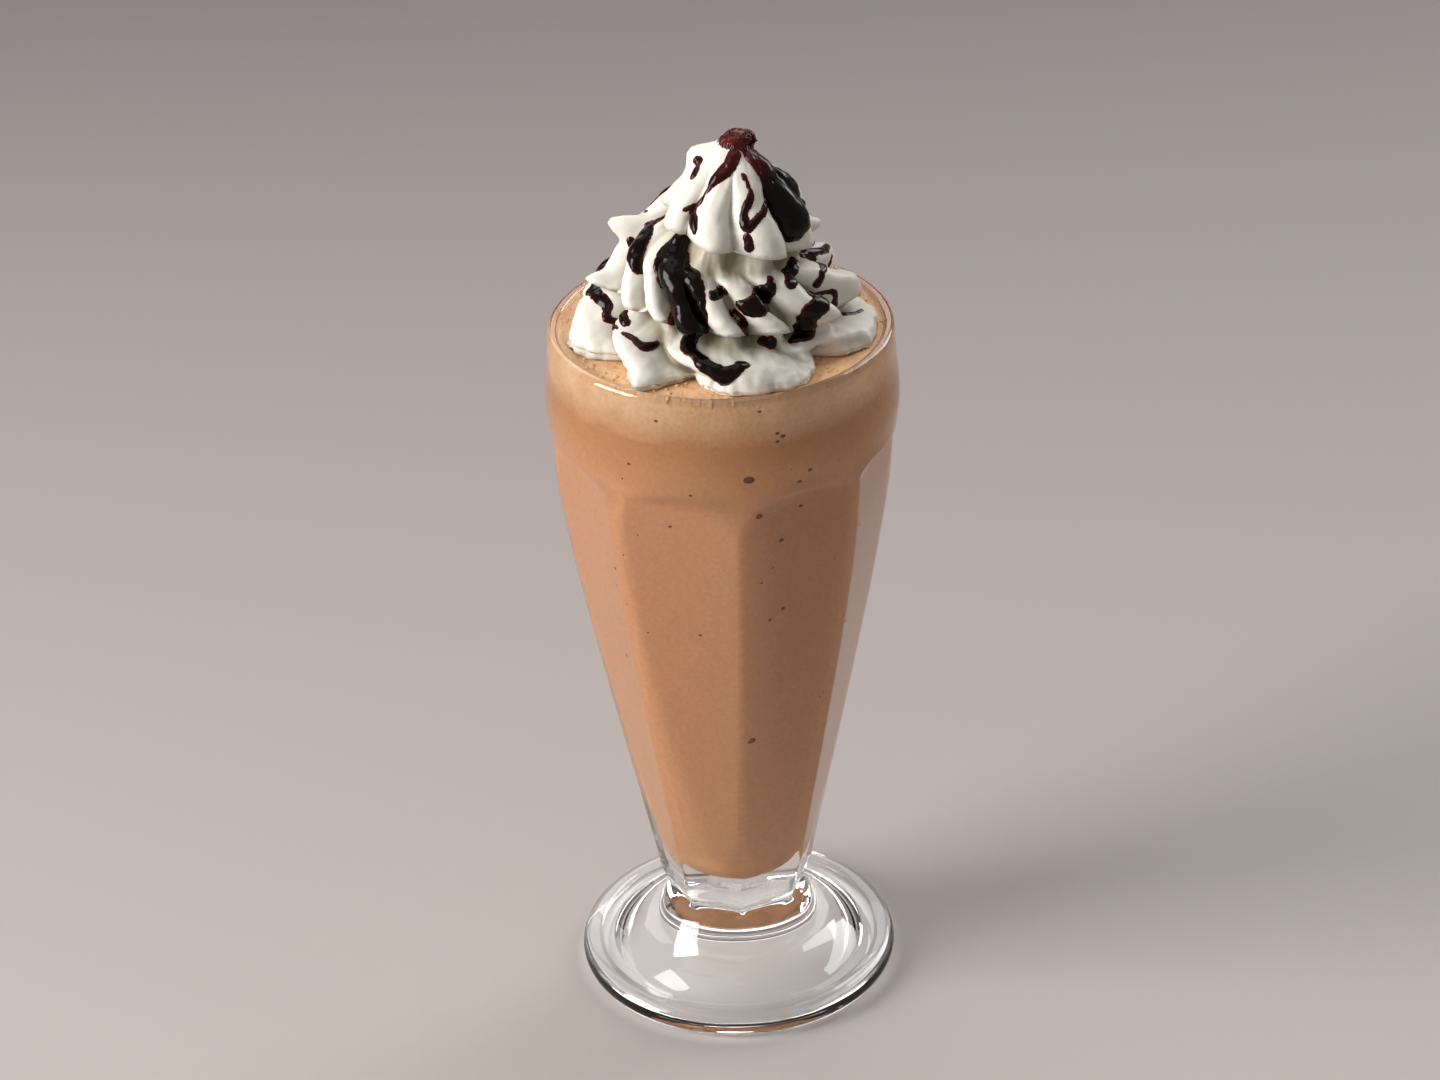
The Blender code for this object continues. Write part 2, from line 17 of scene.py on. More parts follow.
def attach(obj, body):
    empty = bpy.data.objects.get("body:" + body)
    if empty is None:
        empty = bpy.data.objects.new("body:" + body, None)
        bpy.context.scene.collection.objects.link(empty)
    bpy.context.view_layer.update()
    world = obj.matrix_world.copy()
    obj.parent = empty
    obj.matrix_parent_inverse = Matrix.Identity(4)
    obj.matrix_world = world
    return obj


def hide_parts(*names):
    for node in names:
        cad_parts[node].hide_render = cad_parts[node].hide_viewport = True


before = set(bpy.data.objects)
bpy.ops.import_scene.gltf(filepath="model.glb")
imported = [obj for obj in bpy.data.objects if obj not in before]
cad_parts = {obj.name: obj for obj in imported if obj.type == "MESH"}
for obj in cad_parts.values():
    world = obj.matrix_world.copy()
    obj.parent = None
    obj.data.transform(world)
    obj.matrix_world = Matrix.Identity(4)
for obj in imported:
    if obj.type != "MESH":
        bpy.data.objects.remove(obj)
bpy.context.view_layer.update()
MM = 0.001
print("solids:", sorted(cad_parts))

# %% [markdown]
# ## Small helpers
#
# A web colour such as `#B5835B` is written in sRGB, and a shader wants linear light, so one
# function turns one into the other. A second one adds a node to any tree, with its settings and
# with its inputs set or linked, which keeps the trees below short enough to read.

# %% Colours and nodes
def linear_colour(code):
    """A web colour as linear red, green, blue and a full alpha."""
    channels = [int(code[i:i + 2], 16) / 255 for i in (1, 3, 5)]
    return (*[c / 12.92 if c <= 0.04045 else ((c + 0.055) / 1.055) ** 2.4 for c in channels], 1.0)


def add_node(tree, kind, inputs=None, **settings):
    """A new node with its settings, each input set to a value or linked to a socket."""
    node = tree.nodes.new(kind)
    for name, value in settings.items():
        setattr(node, name, value)
    for key, value in (inputs or {}).items():
        if isinstance(value, bpy.types.NodeSocket):
            tree.links.new(value, node.inputs[key])
        else:
            node.inputs[key].default_value = value
    return node


def maths(tree, operation, *values):
    """One step of arithmetic, on numbers or sockets."""
    return add_node(tree, "ShaderNodeMath", dict(enumerate(values)), operation=operation).outputs[0]


def blend(tree, share, first, second):
    """A colour between two colours."""
    mixed = add_node(tree, "ShaderNodeMix", {"Factor": share, "A": first, "B": second}, data_type="RGBA")
    return mixed.outputs["Result"]


def new_material(name, **sockets):
    """A material whose Principled shader has these socket values."""
    material = bpy.data.materials.new(name)
    material.use_nodes = True
    shader = material.node_tree.nodes["Principled BSDF"]
    for key, value in sockets.items():
        shader.inputs[key.replace("_", " ")].default_value = value
    return material, material.node_tree, shader


# %% [markdown]
# ## Reading smooth outlines
#
# A turned shape is drawn as a short list of heights and radii. Straight lines between them would
# show as rings, so the list is read along a cubic curve that passes through each point and never
# swings past it.

# %% Curves through a few points
def smooth_value(table, place):
    """Read a table of (place, value) at a place, along a curve that never overshoots its points."""
    last = len(table) - 1
    if place <= table[0][0]:
        return table[0][1]
    if place >= table[last][0]:
        return table[last][1]
    i = max(k for k in range(last) if table[k][0] <= place)
    span = table[i + 1][0] - table[i][0]
    t = (place - table[i][0]) / span
    start, end = tangent(table, i), tangent(table, i + 1)
    return (
        table[i][1] * (1 + 2 * t) * (1 - t) ** 2 + start * span * t * (1 - t) ** 2
        + table[i + 1][1] * t * t * (3 - 2 * t) + end * span * t * t * (t - 1)
    )


def tangent(table, i):
    """The slope at a point of the table: the harmonic mean of the slopes on its two sides."""
    slopes = [(table[k + 1][1] - table[k][1]) / (table[k + 1][0] - table[k][0])
              for k in (i - 1, i) if 0 <= k < len(table) - 1]
    if len(slopes) == 1:
        return slopes[0]
    before, after = slopes
    return 2 * before * after / (before + after) if before * after > 0 else 0.0


def smooth_step(low, high, value):
    """0 below one value and 1 above another, with an eased change between."""
    t = min(1.0, max(0.0, (value - low) / (high - low)))
    return t * t * (3 - 2 * t)


# %% [markdown]
# ## Camera
#
# The camera stands where the photographer's did: about a metre away, looking down by 30 degrees
# with a long lens, and tilted by a degree or two so that the glass leans a little to the left.

# %% Camera
CAMERA_PLACE = Vector((0.0, -0.78886, 0.58126))
CAMERA_PITCH = math.radians(30.014)
CAMERA_YAW = math.radians(-0.128)
CAMERA_ROLL = math.radians(-1.774)

camera = bpy.data.objects.new("camera", bpy.data.cameras.new("camera"))
camera.data.lens = 90.58
camera.data.sensor_width = 36.0
camera.data.clip_start = 0.05
forward = Vector((
    math.sin(CAMERA_YAW) * math.cos(CAMERA_PITCH), math.cos(CAMERA_YAW) * math.cos(CAMERA_PITCH),
    -math.sin(CAMERA_PITCH)))
level_right = Vector((math.cos(CAMERA_YAW), -math.sin(CAMERA_YAW), 0.0))
level_up = level_right.cross(forward)
right = level_right * math.cos(CAMERA_ROLL) + level_up * math.sin(CAMERA_ROLL)
up = level_up * math.cos(CAMERA_ROLL) - level_right * math.sin(CAMERA_ROLL)
turned = Matrix((right, up, -forward)).transposed().to_4x4()
camera.matrix_world = Matrix.Translation(CAMERA_PLACE) @ turned
bpy.context.scene.collection.objects.link(camera)
bpy.context.scene.camera = camera
bpy.context.scene.view_settings.view_transform = "Standard"
print(f"camera {CAMERA_PLACE.length:.2f} m from the foot, {math.degrees(CAMERA_PITCH):.0f} degrees down")

# %% [markdown]
# ## Floor and light
#
# Glass shows its surroundings more than itself, so it needs a quiet studio: a pale floor that
# sweeps up into a backdrop with no corner, and large soft lamps. Light reaches the drink through
# the glass only by chance hits, and large lamps are hit more often, which keeps the noise low.
# Under a clear foot a floor looks dark, because the glass takes light away twice. A product photographer
# lays a white card there, cut to the foot; here there is no card, and the floor's colour is painted near
# white in a disc under the foot instead, a painted pool of light.

# %% Floor
# Sizes in metres, apart from those with MM
FLOOR_DROP = 0.2 * MM
FLOOR_HALF = 2.2
SWEEP_START = 1.6
SWEEP_RADIUS = 0.9
WALL_TOP = 3.0
PAINTED_LIGHT_RADIUS = 31 * MM
PAINTED_LIGHT_FADE = 13 * MM


def make_floor():
    """A floor whose far end curves up into a wall."""
    rows = [(-FLOOR_HALF, -FLOOR_DROP), (0.0, -FLOOR_DROP), (SWEEP_START, -FLOOR_DROP)]
    for i in range(1, 13):
        angle = math.pi / 2 * i / 12
        rows.append((SWEEP_START + SWEEP_RADIUS * math.sin(angle),
                     SWEEP_RADIUS * (1 - math.cos(angle)) - FLOOR_DROP))
    rows.append((SWEEP_START + SWEEP_RADIUS, WALL_TOP))
    points = [(side * FLOOR_HALF, y, z) for y, z in rows for side in (-1, 1)]
    faces = [(2 * i, 2 * i + 1, 2 * i + 3, 2 * i + 2) for i in range(len(rows) - 1)]
    mesh = bpy.data.meshes.new("floor")
    mesh.from_pydata(points, [], faces)
    mesh.shade_smooth()
    floor = bpy.data.objects.new("floor", mesh)
    bpy.context.scene.collection.objects.link(floor)
    mesh.materials.append(backdrop_material())
    return floor


def backdrop_material():
    """Uncoated paper: no shine, and painted shade that makes its colour darker towards the back, as paper
    further from the lamp would look.
    """
    material, tree, shader = new_material("matte_paper_backdrop", Roughness=0.9)
    where = add_node(tree, "ShaderNodeTexCoord").outputs["Object"]
    away = add_node(tree, "ShaderNodeSeparateXYZ", {0: where}).outputs["Y"]
    share = add_node(tree, "ShaderNodeMapRange", {"Value": away, "From Min": -0.2, "From Max": 0.7})
    tone = blend(tree, share.outputs[0], linear_colour("#B5ADA8"), linear_colour("#756D6C"))
    # Painted light: the floor's colour turns near white in a disc under the glass foot, and fades out at
    # its edge
    aside = add_node(tree, "ShaderNodeVectorMath", {0: where}, operation="LENGTH").outputs["Value"]
    painted_light_pool = add_node(tree, "ShaderNodeMapRange", {
        "Value": aside, "From Min": PAINTED_LIGHT_RADIUS, "From Max": PAINTED_LIGHT_RADIUS + PAINTED_LIGHT_FADE,
        "To Min": 1.0, "To Max": 0.0})
    tone = blend(tree, painted_light_pool.outputs[0], tone, linear_colour("#F2EEEA"))
    tree.links.new(tone, shader.inputs["Base Color"])
    return material


floor = make_floor()


# %% Lamps
def add_softbox(name, place, target, width, height, power, colour="#FFFFFF"):
    """A large rectangular lamp that faces its target, with sizes in metres and power in watts."""
    lamp = bpy.data.lights.new(name, "AREA")
    lamp.shape = "RECTANGLE"
    lamp.size = width
    lamp.size_y = height
    lamp.energy = power
    lamp.color = linear_colour(colour)[:3]
    item = bpy.data.objects.new(name, lamp)
    item.location = place
    item.rotation_euler = (Vector(target) - Vector(place)).to_track_quat("-Z", "Y").to_euler()
    bpy.context.scene.collection.objects.link(item)
    return item


MIDDLE = (0.0, 0.0, 0.12)
AIR_STRENGTH = 0.4
add_softbox("key_softbox", (-1.78, -0.52, 0.9), MIDDLE, 1.0, 1.3, 58.0)
add_softbox("back_softbox", (0.9, 0.9, 0.9), MIDDLE, 0.5, 1.1, 9.0)
add_softbox("top_softbox", (-0.3, 0.2, 1.7), MIDDLE, 1.2, 1.2, 4.0)
# Mirrored in the foot and the rim, but kept out of the pictures themselves
far_softbox = add_softbox("far_softbox", (-0.2, 1.9, 1.45), MIDDLE, 2.4, 1.1, 18.0)
far_softbox.visible_camera = False

world = bpy.data.worlds.new("studio_air")
bpy.context.scene.world = world
world.use_nodes = True
air = world.node_tree.nodes["Background"]
air.inputs["Color"].default_value = linear_colour("#E8E4E4")
air.inputs["Strength"].default_value = AIR_STRENGTH

# %% [markdown]
# ## Clear glass
#
# Soda-lime glass bends light with an IOR of about 1.52. It came out of a polished mould, so its
# surface is smooth but not perfectly flat, and wide shallow waves a few centimetres apart make
# its highlights wander.

# %% Glass material
GLASS_IOR = 1.52
WAVE_LENGTH = 22.0 * MM

glass_material, tree, shader = new_material(
    "pressed_soda_lime_glass", Roughness=0.0, IOR=GLASS_IOR, Transmission_Weight=1.0)
shader.inputs["Base Color"].default_value = linear_colour("#FFFFFF")
where = add_node(tree, "ShaderNodeTexCoord")
waves = add_node(tree, "ShaderNodeTexNoise",
                 {"Vector": where.outputs["Object"], "Scale": 1 / WAVE_LENGTH, "Detail": 1.0})
ripple = add_node(tree, "ShaderNodeBump",
                  {"Height": waves.outputs[0], "Distance": 0.25 * MM, "Strength": 0.6})
tree.links.new(ripple.outputs[0], shader.inputs["Normal"])

# %% [markdown]
# ## The glass: its outline
#
# The glass is turned, and eight flats are then pressed into it. The outline runs up inside the
# cavity, over the round lip, down outside, round the bead at the foot's edge, and under the foot to
# the axis. Each point also says how far the flats lie from the axis at its height.

# %% Sizes of the glass
GLASS_HEIGHT = 187.0
FOOT_RADIUS = 41.6
BEAD_RADIUS = 3.2
LIP_THICKNESS = 2.9
FLOOR_HEIGHT = 32.5
FLOOR_CORNER = 6.6
RECESS_RADIUS = 33.0
RECESS_HEIGHT = 15.5
OUTER_OUTLINE = (
    (5.2, 35.2), (6.8, 31.2), (9.2, 27.0), (12.6, 23.2), (16.4, 20.4), (19.8, 18.6), (22.4, 17.9),
    (23.8, 18.1), (25.2, 19.2), (27.0, 19.9), (33.0, 21.1), (50.0, 24.6), (75.0, 29.7), (105.0, 35.6),
    (120.0, 38.3), (135.0, 40.7), (145.0, 41.9), (155.0, 42.5), (162.0, 43.0), (168.0, 43.6),
    (175.0, 43.1), (185.6, 42.3),
)
CAVITY_OUTLINE = (
    (39.5, 13.5), (43.0, 15.1), (50.0, 17.3), (60.0, 20.0), (75.0, 23.6), (90.0, 27.0), (105.0, 30.0),
    (120.0, 32.7), (135.0, 35.0), (145.0, 36.3), (155.0, 37.3), (165.0, 38.2), (175.0, 38.9),
    (185.6, 39.4),
)


def arc(centre, radius, start, end, count):
    """Points (radius, height) on an arc, whose angles are given in degrees."""
    angles = [math.radians(start + (end - start) * i / count) for i in range(count + 1)]
    return [(centre[0] + radius * math.cos(a), centre[1] + radius * math.sin(a)) for a in angles]


def steps(start, end, size):
    """Evenly spaced values from start to end, no more than a size apart."""
    count = math.ceil(abs(end - start) / size)
    return [start + (end - start) * i / count for i in range(count + 1)]


def cavity_radius(height):
    """The cavity's radius, with its rounded floor, in millimetres."""
    corner_radius = CAVITY_OUTLINE[0][1] - FLOOR_CORNER * 1.06
    if height < FLOOR_HEIGHT + FLOOR_CORNER:
        rise = min(1.0, max(0.0, 1 - (height - FLOOR_HEIGHT) / FLOOR_CORNER))
        return corner_radius + FLOOR_CORNER * math.sqrt(1 - rise * rise)
    return smooth_value(CAVITY_OUTLINE, height)


# %% [markdown]
# The flats run the whole way up the cup. At its top each one curves out to the surface, so that it
# ends in a shallow arch with a crisp edge, and over the foot it fades out in a few millimetres. The
# cavity follows them softly, which is why the drink looks lighter on one panel than on the next.

# %% How deep the flats lie
PANEL_COUNT = 8
RIB_ANGLE = 274.0
PANEL_DEPTH = 0.921
ARCH_FOOT = 155.5
ARCH_TOP = 160.8
FLUTE_FOOT = 20.0
FLUTE_DEEP = 24.5
NO_FLAT = 1000.0


def outer_point(height):
    """Radius at a rib, height, and how far a flat lies from the axis there, in millimetres."""
    radius = smooth_value(OUTER_OUTLINE, height)
    if not FLUTE_FOOT < height < ARCH_TOP:
        return radius, height, NO_FLAT
    rise = min(1.0, max(0.0, (height - ARCH_FOOT) / (ARCH_TOP - ARCH_FOOT)))
    depth = math.sqrt(1 - rise * rise) * smooth_step(FLUTE_FOOT, FLUTE_DEEP, height)
    return radius, height, radius * (1 - (1 - PANEL_DEPTH) * depth)


def cavity_point(height):
    """The same inside the cup, whose flats touch the round cavity and whose corners reach past it."""
    flat = cavity_radius(height)
    depth = smooth_step(38.0, 48.0, height) * (1 - smooth_step(ARCH_FOOT - 6, ARCH_TOP, height))
    return flat * (1 + (1 / PANEL_DEPTH - 1) * depth), height, flat


def glass_outline():
    """The section of the glass, as (radius, height, distance of the flats) from the cavity's floor."""
    corner = (CAVITY_OUTLINE[0][1] - FLOOR_CORNER * 1.06, FLOOR_HEIGHT + FLOOR_CORNER)
    lip_half = LIP_THICKNESS / 2
    lip_base = GLASS_HEIGHT - lip_half
    floor_points = [(r, FLOOR_HEIGHT) for r in steps(0.0, corner[0], 1.2)]
    floor_points += arc(corner, FLOOR_CORNER, 270, 355, 12)[1:]
    inside = [cavity_point(h) for h in steps(40.0, lip_base - 1.0, 2.4)]
    lip = arc((smooth_value(OUTER_OUTLINE, lip_base) - lip_half, lip_base), lip_half, 180, 0, 16)
    outside = [outer_point(h) for h in
               steps(lip_base - 0.8, 164.0, 1.2) + steps(163.5, 154.0, 0.4) + steps(152.8, 34.0, 2.4)
               + steps(33.0, 6.2, 0.45)]
    bead = arc((FOOT_RADIUS - BEAD_RADIUS, BEAD_RADIUS), BEAD_RADIUS, 138, -90, 22)
    under = [(r, RECESS_HEIGHT * (1 - (r / RECESS_RADIUS) ** 2)) for r in steps(RECESS_RADIUS, 0.0, 0.9)]
    plain = [[(r, h, NO_FLAT) for r, h in part] for part in (floor_points, lip, bead + under)]
    return plain[0] + inside + plain[1] + outside + plain[2]


# %% [markdown]
# ## The glass: turned and pressed by Geometry Nodes
#
# A Screw modifier and eight cutting slabs would give the shape too, but a Boolean leaves long thin
# faces, and they show as streaks in clear glass. Here the tree starts from a flat grid. Each of its
# rows takes its radius and height from one point of the outline, and each column its angle. The
# flats then pull the points in: a smooth minimum of the round and the flat radius gives each
# rib and arch the slightly soft edge that glass gets in its mould.

# %% The glass tree
def glass_tree():
    tree = bpy.data.node_groups.new("turn_and_press", "GeometryNodeTree")
    face = tree.interface
    face.new_socket("Geometry", in_out="INPUT", socket_type="NodeSocketGeometry")
    face.new_socket("Columns", in_out="INPUT", socket_type="NodeSocketInt")
    for name in ("Panels", "Rib Angle", "Rib Softness", "Arch Softness"):
        face.new_socket(name, in_out="INPUT", socket_type="NodeSocketFloat")
    face.new_socket("Material", in_out="INPUT", socket_type="NodeSocketMaterial")
    face.new_socket("Geometry", in_out="OUTPUT", socket_type="NodeSocketGeometry")
    given = add_node(tree, "NodeGroupInput").outputs
    outline = given["Geometry"]
    size = add_node(tree, "GeometryNodeAttributeDomainSize", {"Geometry": outline}, component="MESH")
    rows = size.outputs["Point Count"]
    columns = maths(tree, "ADD", given["Columns"], 1.0)
    grid = add_node(tree, "GeometryNodeMeshGrid", {
        "Size X": 1.0, "Size Y": 1.0, "Vertices X": rows, "Vertices Y": columns}).outputs["Mesh"]
    position = add_node(tree, "GeometryNodeInputPosition").outputs[0]
    place = add_node(tree, "ShaderNodeSeparateXYZ", {0: position})
    row = maths(tree, "ROUND", maths(tree, "MULTIPLY", maths(tree, "ADD", place.outputs["X"], 0.5),
                                     maths(tree, "SUBTRACT", rows, 1.0)))
    turn = maths(tree, "ADD", place.outputs["Y"], 0.5)
    angle = maths(tree, "MULTIPLY", turn, 2 * math.pi)
    point = add_node(tree, "GeometryNodeSampleIndex", {
        "Geometry": outline, "Value": position, "Index": row}, data_type="FLOAT_VECTOR")
    point = add_node(tree, "ShaderNodeSeparateXYZ", {0: point.outputs["Value"]}).outputs
    named = add_node(tree, "GeometryNodeInputNamedAttribute", {"Name": "flat_distance"}, data_type="FLOAT")
    flat = add_node(tree, "GeometryNodeSampleIndex", {
        "Geometry": outline, "Value": named.outputs["Attribute"], "Index": row},
        data_type="FLOAT").outputs["Value"]
    sector = maths(tree, "DIVIDE", 2 * math.pi, given["Panels"])
    from_rib = maths(tree, "FLOORED_MODULO", maths(tree, "SUBTRACT", angle, given["Rib Angle"]), sector)
    half = maths(tree, "DIVIDE", sector, 2.0)
    from_middle = maths(tree, "ABSOLUTE", maths(tree, "SUBTRACT", from_rib, half))
    from_next = maths(tree, "SUBTRACT", sector, from_middle)
    near = maths(tree, "DIVIDE", flat, maths(tree, "COSINE", from_middle))
    far = maths(tree, "DIVIDE", flat, maths(tree, "COSINE", from_next))
    ribbed = maths(tree, "SMOOTH_MIN", near, far, given["Rib Softness"])
    radius = maths(tree, "SMOOTH_MIN", point["X"], ribbed, given["Arch Softness"])
    bent = add_node(tree, "ShaderNodeCombineXYZ", {
        "X": maths(tree, "MULTIPLY", radius, maths(tree, "COSINE", angle)),
        "Y": maths(tree, "MULTIPLY", radius, maths(tree, "SINE", angle)), "Z": point["Z"]})
    moved = add_node(tree, "GeometryNodeSetPosition", {"Geometry": grid, "Position": bent.outputs[0]})
    welded = add_node(tree, "GeometryNodeMergeByDistance", {
        "Geometry": moved.outputs[0], "Distance": 0.004 * MM})
    real = add_node(tree, "GeometryNodeRealizeInstances", {"Geometry": welded.outputs[0]})
    painted = add_node(tree, "GeometryNodeSetMaterial", {
        "Geometry": real.outputs[0], "Material": given["Material"]})
    add_node(tree, "NodeGroupOutput", {"Geometry": painted.outputs[0]})
    return tree


# %% [markdown]
# A Geometry Nodes modifier keeps its inputs under the identifiers of its sockets, such as
# `Socket_3`, and they are set before the object is evaluated for the first time. The result is then
# taken as a plain mesh, because the finished piece must not depend on a modifier.

# %% From tree to plain mesh
def run_tree(item, tree, **values):
    """Run a node tree on an object, and keep the result as the object's own plain mesh."""
    modifier = item.modifiers.new("nodes", "NODES")
    modifier.node_group = tree
    sockets = {s.name: s.identifier for s in tree.interface.items_tree if s.in_out == "INPUT"}
    for name, value in values.items():
        modifier[sockets[name.replace("_", " ")]] = value
    return flatten(item)


def flatten(item):
    """Replace an object's mesh by what its modifiers make of it."""
    bpy.context.view_layer.update()
    graph = bpy.context.evaluated_depsgraph_get()
    mesh = bpy.data.meshes.new_from_object(item.evaluated_get(graph), depsgraph=graph)
    item.modifiers.clear()
    item.data = mesh
    return mesh


def face_outwards(mesh):
    """Turn every face's front to the outside."""
    work = bmesh.new()
    work.from_mesh(mesh)
    bmesh.ops.recalc_face_normals(work, faces=work.faces)
    work.to_mesh(mesh)
    work.free()


def report(item):
    """Print how many triangles a piece has, any open edges, and its volume."""
    work = bmesh.new()
    work.from_mesh(item.data)
    triangles = sum(len(f.verts) - 2 for f in work.faces)
    open_edges = sum(1 for e in work.edges if len(e.link_faces) < 2)
    volume = work.calc_volume() * 1e6
    print(f"{item.name}: {triangles} triangles, {open_edges} open edges, {volume:.1f} cm3")
    work.free()


def new_piece(name, mesh):
    """A new object in the scene."""
    item = bpy.data.objects.new(name, mesh)
    bpy.context.scene.collection.objects.link(item)
    return item


def settle(item, slot, *replaced):
    """Tell the frame what a finished piece rides on and replaces, and print its triangles and volume; the
    slot is not used.
    """
    report(item)
    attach(item, "root")
    if replaced:
        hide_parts(*replaced)


# %% Make the glass
GLASS_COLUMNS = 208


def make_glass():
    outline = glass_outline()
    mesh = bpy.data.meshes.new("glass_outline")
    edges = [(i, i + 1) for i in range(len(outline) - 1)]
    mesh.from_pydata([(radius * MM, 0.0, height * MM) for radius, height, _ in outline], edges, [])
    distances = mesh.attributes.new("flat_distance", "FLOAT", "POINT")
    distances.data.foreach_set("value", [flat * MM for _, _, flat in outline])
    glass = new_piece("pressed_glass", mesh)
    run_tree(glass, glass_tree(), Columns=GLASS_COLUMNS, Panels=float(PANEL_COUNT),
             Rib_Angle=math.radians(RIB_ANGLE), Rib_Softness=0.9 * MM, Arch_Softness=0.35 * MM,
             Material=glass_material)
    face_outwards(glass.data)
    glass.data.shade_smooth()
    return glass


glass = make_glass()
settle(glass, "clear_glass", "glass")

# %% [markdown]
# ## The drink
#
# A milkshake is milk, air and cocoa, and light comes back out of it before it gets far in, so a
# plain matt surface is enough. It is a pale warm brown, a little darker just under the froth.

# %% Milkshake material
FROTH_BOTTOM = 173.4
FROTH_TOP = 185.2
FOAM_GRAIN = 1.1 * MM
SHAKE = "#DFA678"
SHAKE_UNDER_FROTH = "#D0955F"
FROTH = "#F6CDA0"
FROTH_PATCH = "#E9BA88"
FROTH_TOP_TONE = "#DDAE82"


def cloudy_level(tree, where, low, high):
    """0 below one height and 1 above another, in millimetres, with an edge that wanders like cloud."""
    height = add_node(tree, "ShaderNodeSeparateXYZ", {0: where}).outputs["Z"]
    cloud = add_node(tree, "ShaderNodeTexNoise", {
        "Vector": where, "Scale": 1 / (11 * MM), "Detail": 4.0})
    wander = maths(tree, "MULTIPLY_ADD", cloud.outputs[0], 7 * MM, -3.5 * MM)
    level = maths(tree, "ADD", height, wander)
    return add_node(tree, "ShaderNodeMapRange", {
        "Value": level, "From Min": low * MM, "From Max": high * MM}).outputs[0]


# Opaque and nearly matt, because milk fat and air scatter the light just under its surface
shake_material, tree, shader = new_material("whipped_milkshake", Roughness=0.6, Specular_IOR_Level=0.1)
where = add_node(tree, "ShaderNodeTexCoord").outputs["Object"]
level = cloudy_level(tree, where, 156, 170)
tone = blend(tree, level, linear_colour(SHAKE), linear_colour(SHAKE_UNDER_FROTH))
grain = add_node(tree, "ShaderNodeTexNoise", {"Vector": where, "Scale": 1 / FOAM_GRAIN, "Detail": 3.0})
shade = add_node(tree, "ShaderNodeMapRange", {
    "Value": grain.outputs[0], "From Min": 0.3, "From Max": 0.7, "To Min": 0.94, "To Max": 1.04})
mixed = add_node(tree, "ShaderNodeVectorMath", {0: tone, "Scale": shade.outputs[0]}, operation="SCALE")
tree.links.new(mixed.outputs[0], shader.inputs["Base Color"])

# %% Froth material
FROTH_CELL = 1.2 * MM
PATCH_SIZE = 9 * MM

# Closed bubbles give it a soft, slightly wet sheen and a grain of small cells
froth_material, tree, shader = new_material("milk_froth", Roughness=0.45, Specular_IOR_Level=0.3)
where = add_node(tree, "ShaderNodeTexCoord").outputs["Object"]
cells = add_node(tree, "ShaderNodeTexVoronoi", {"Vector": where, "Scale": 1 / FROTH_CELL})
patches = add_node(tree, "ShaderNodeTexNoise", {"Vector": where, "Scale": 1 / PATCH_SIZE, "Detail": 3.0})
patchy = add_node(tree, "ShaderNodeMapRange", {
    "Value": patches.outputs[0], "From Min": 0.35, "From Max": 0.65})
tone = blend(tree, patchy.outputs[0], linear_colour(FROTH_PATCH), linear_colour(FROTH))
tone = blend(tree, cloudy_level(tree, where, 173.5, 180.5), linear_colour(SHAKE_UNDER_FROTH), tone)
height = add_node(tree, "ShaderNodeSeparateXYZ", {0: where}).outputs["Z"]
on_top = add_node(tree, "ShaderNodeMapRange", {
    "Value": height, "From Min": (FROTH_TOP - 1.0) * MM, "From Max": FROTH_TOP * MM})
tone = blend(tree, on_top.outputs[0], tone, linear_colour(FROTH_TOP_TONE))
shade = add_node(tree, "ShaderNodeMapRange", {
    "Value": cells.outputs["Distance"], "From Min": 0.0, "From Max": 0.8, "To Min": 0.93, "To Max": 1.03})
mixed = add_node(tree, "ShaderNodeVectorMath", {0: tone, "Scale": shade.outputs[0]}, operation="SCALE")
tree.links.new(mixed.outputs[0], shader.inputs["Base Color"])
bubbles = add_node(tree, "ShaderNodeBump", {
    "Height": cells.outputs["Distance"], "Distance": 0.3 * MM, "Strength": 0.5})
tree.links.new(bubbles.outputs[0], shader.inputs["Normal"])

# %% [markdown]
# ## Filling the glass
#
# Where a liquid wets glass there is no air between them. A drink that only touches the wall would
# leave a thin air gap that shines like a mirror, so this one reaches a little way into the wall.

# %% Turn the drink
INTO_WALL = 0.35
DRINK_COLUMNS = 288


def pressed_radius(radius, flat, angle):
    """The reach of a ring with eight flats at an angle, with slightly soft corners."""
    sector = 2 * math.pi / PANEL_COUNT
    from_middle = abs((angle - math.radians(RIB_ANGLE)) % sector - sector / 2)
    straight = flat / math.cos(from_middle)
    soft = max(0.0, 0.7 - abs(radius - straight)) / 0.7
    return min(radius, straight) - soft * soft * 0.7 / 4


def turned_mesh(name, outline, columns, material):
    """A closed mesh from (radius, height, flat) in millimetres that starts and ends on the axis."""
    work = bmesh.new()
    rings = []
    for radius, height, flat in outline:
        if radius == 0.0:
            rings.append([work.verts.new((0.0, 0.0, height * MM))] * columns)
            continue
        rings.append([])
        for angle in [2 * math.pi * j / columns for j in range(columns)]:
            reach = pressed_radius(radius, flat, angle) * MM
            place = (reach * math.cos(angle), reach * math.sin(angle), height * MM)
            rings[-1].append(work.verts.new(place))
    for lower, upper in zip(rings, rings[1:]):
        for j in range(columns):
            corners = (lower[j - 1], lower[j], upper[j], upper[j - 1])
            work.faces.new(tuple(dict.fromkeys(corners)))
    bmesh.ops.recalc_face_normals(work, faces=work.faces)
    mesh = bpy.data.meshes.new(name)
    work.to_mesh(mesh)
    work.free()
    mesh.materials.append(material)
    mesh.shade_smooth()
    mesh.set_sharp_from_angle(angle=math.radians(50))
    return mesh


def drink_point(height):
    """Where the drink's side lies at a height: a little way into the wall of the cavity."""
    radius, height, flat = cavity_point(height)
    return radius + INTO_WALL, height, flat + INTO_WALL


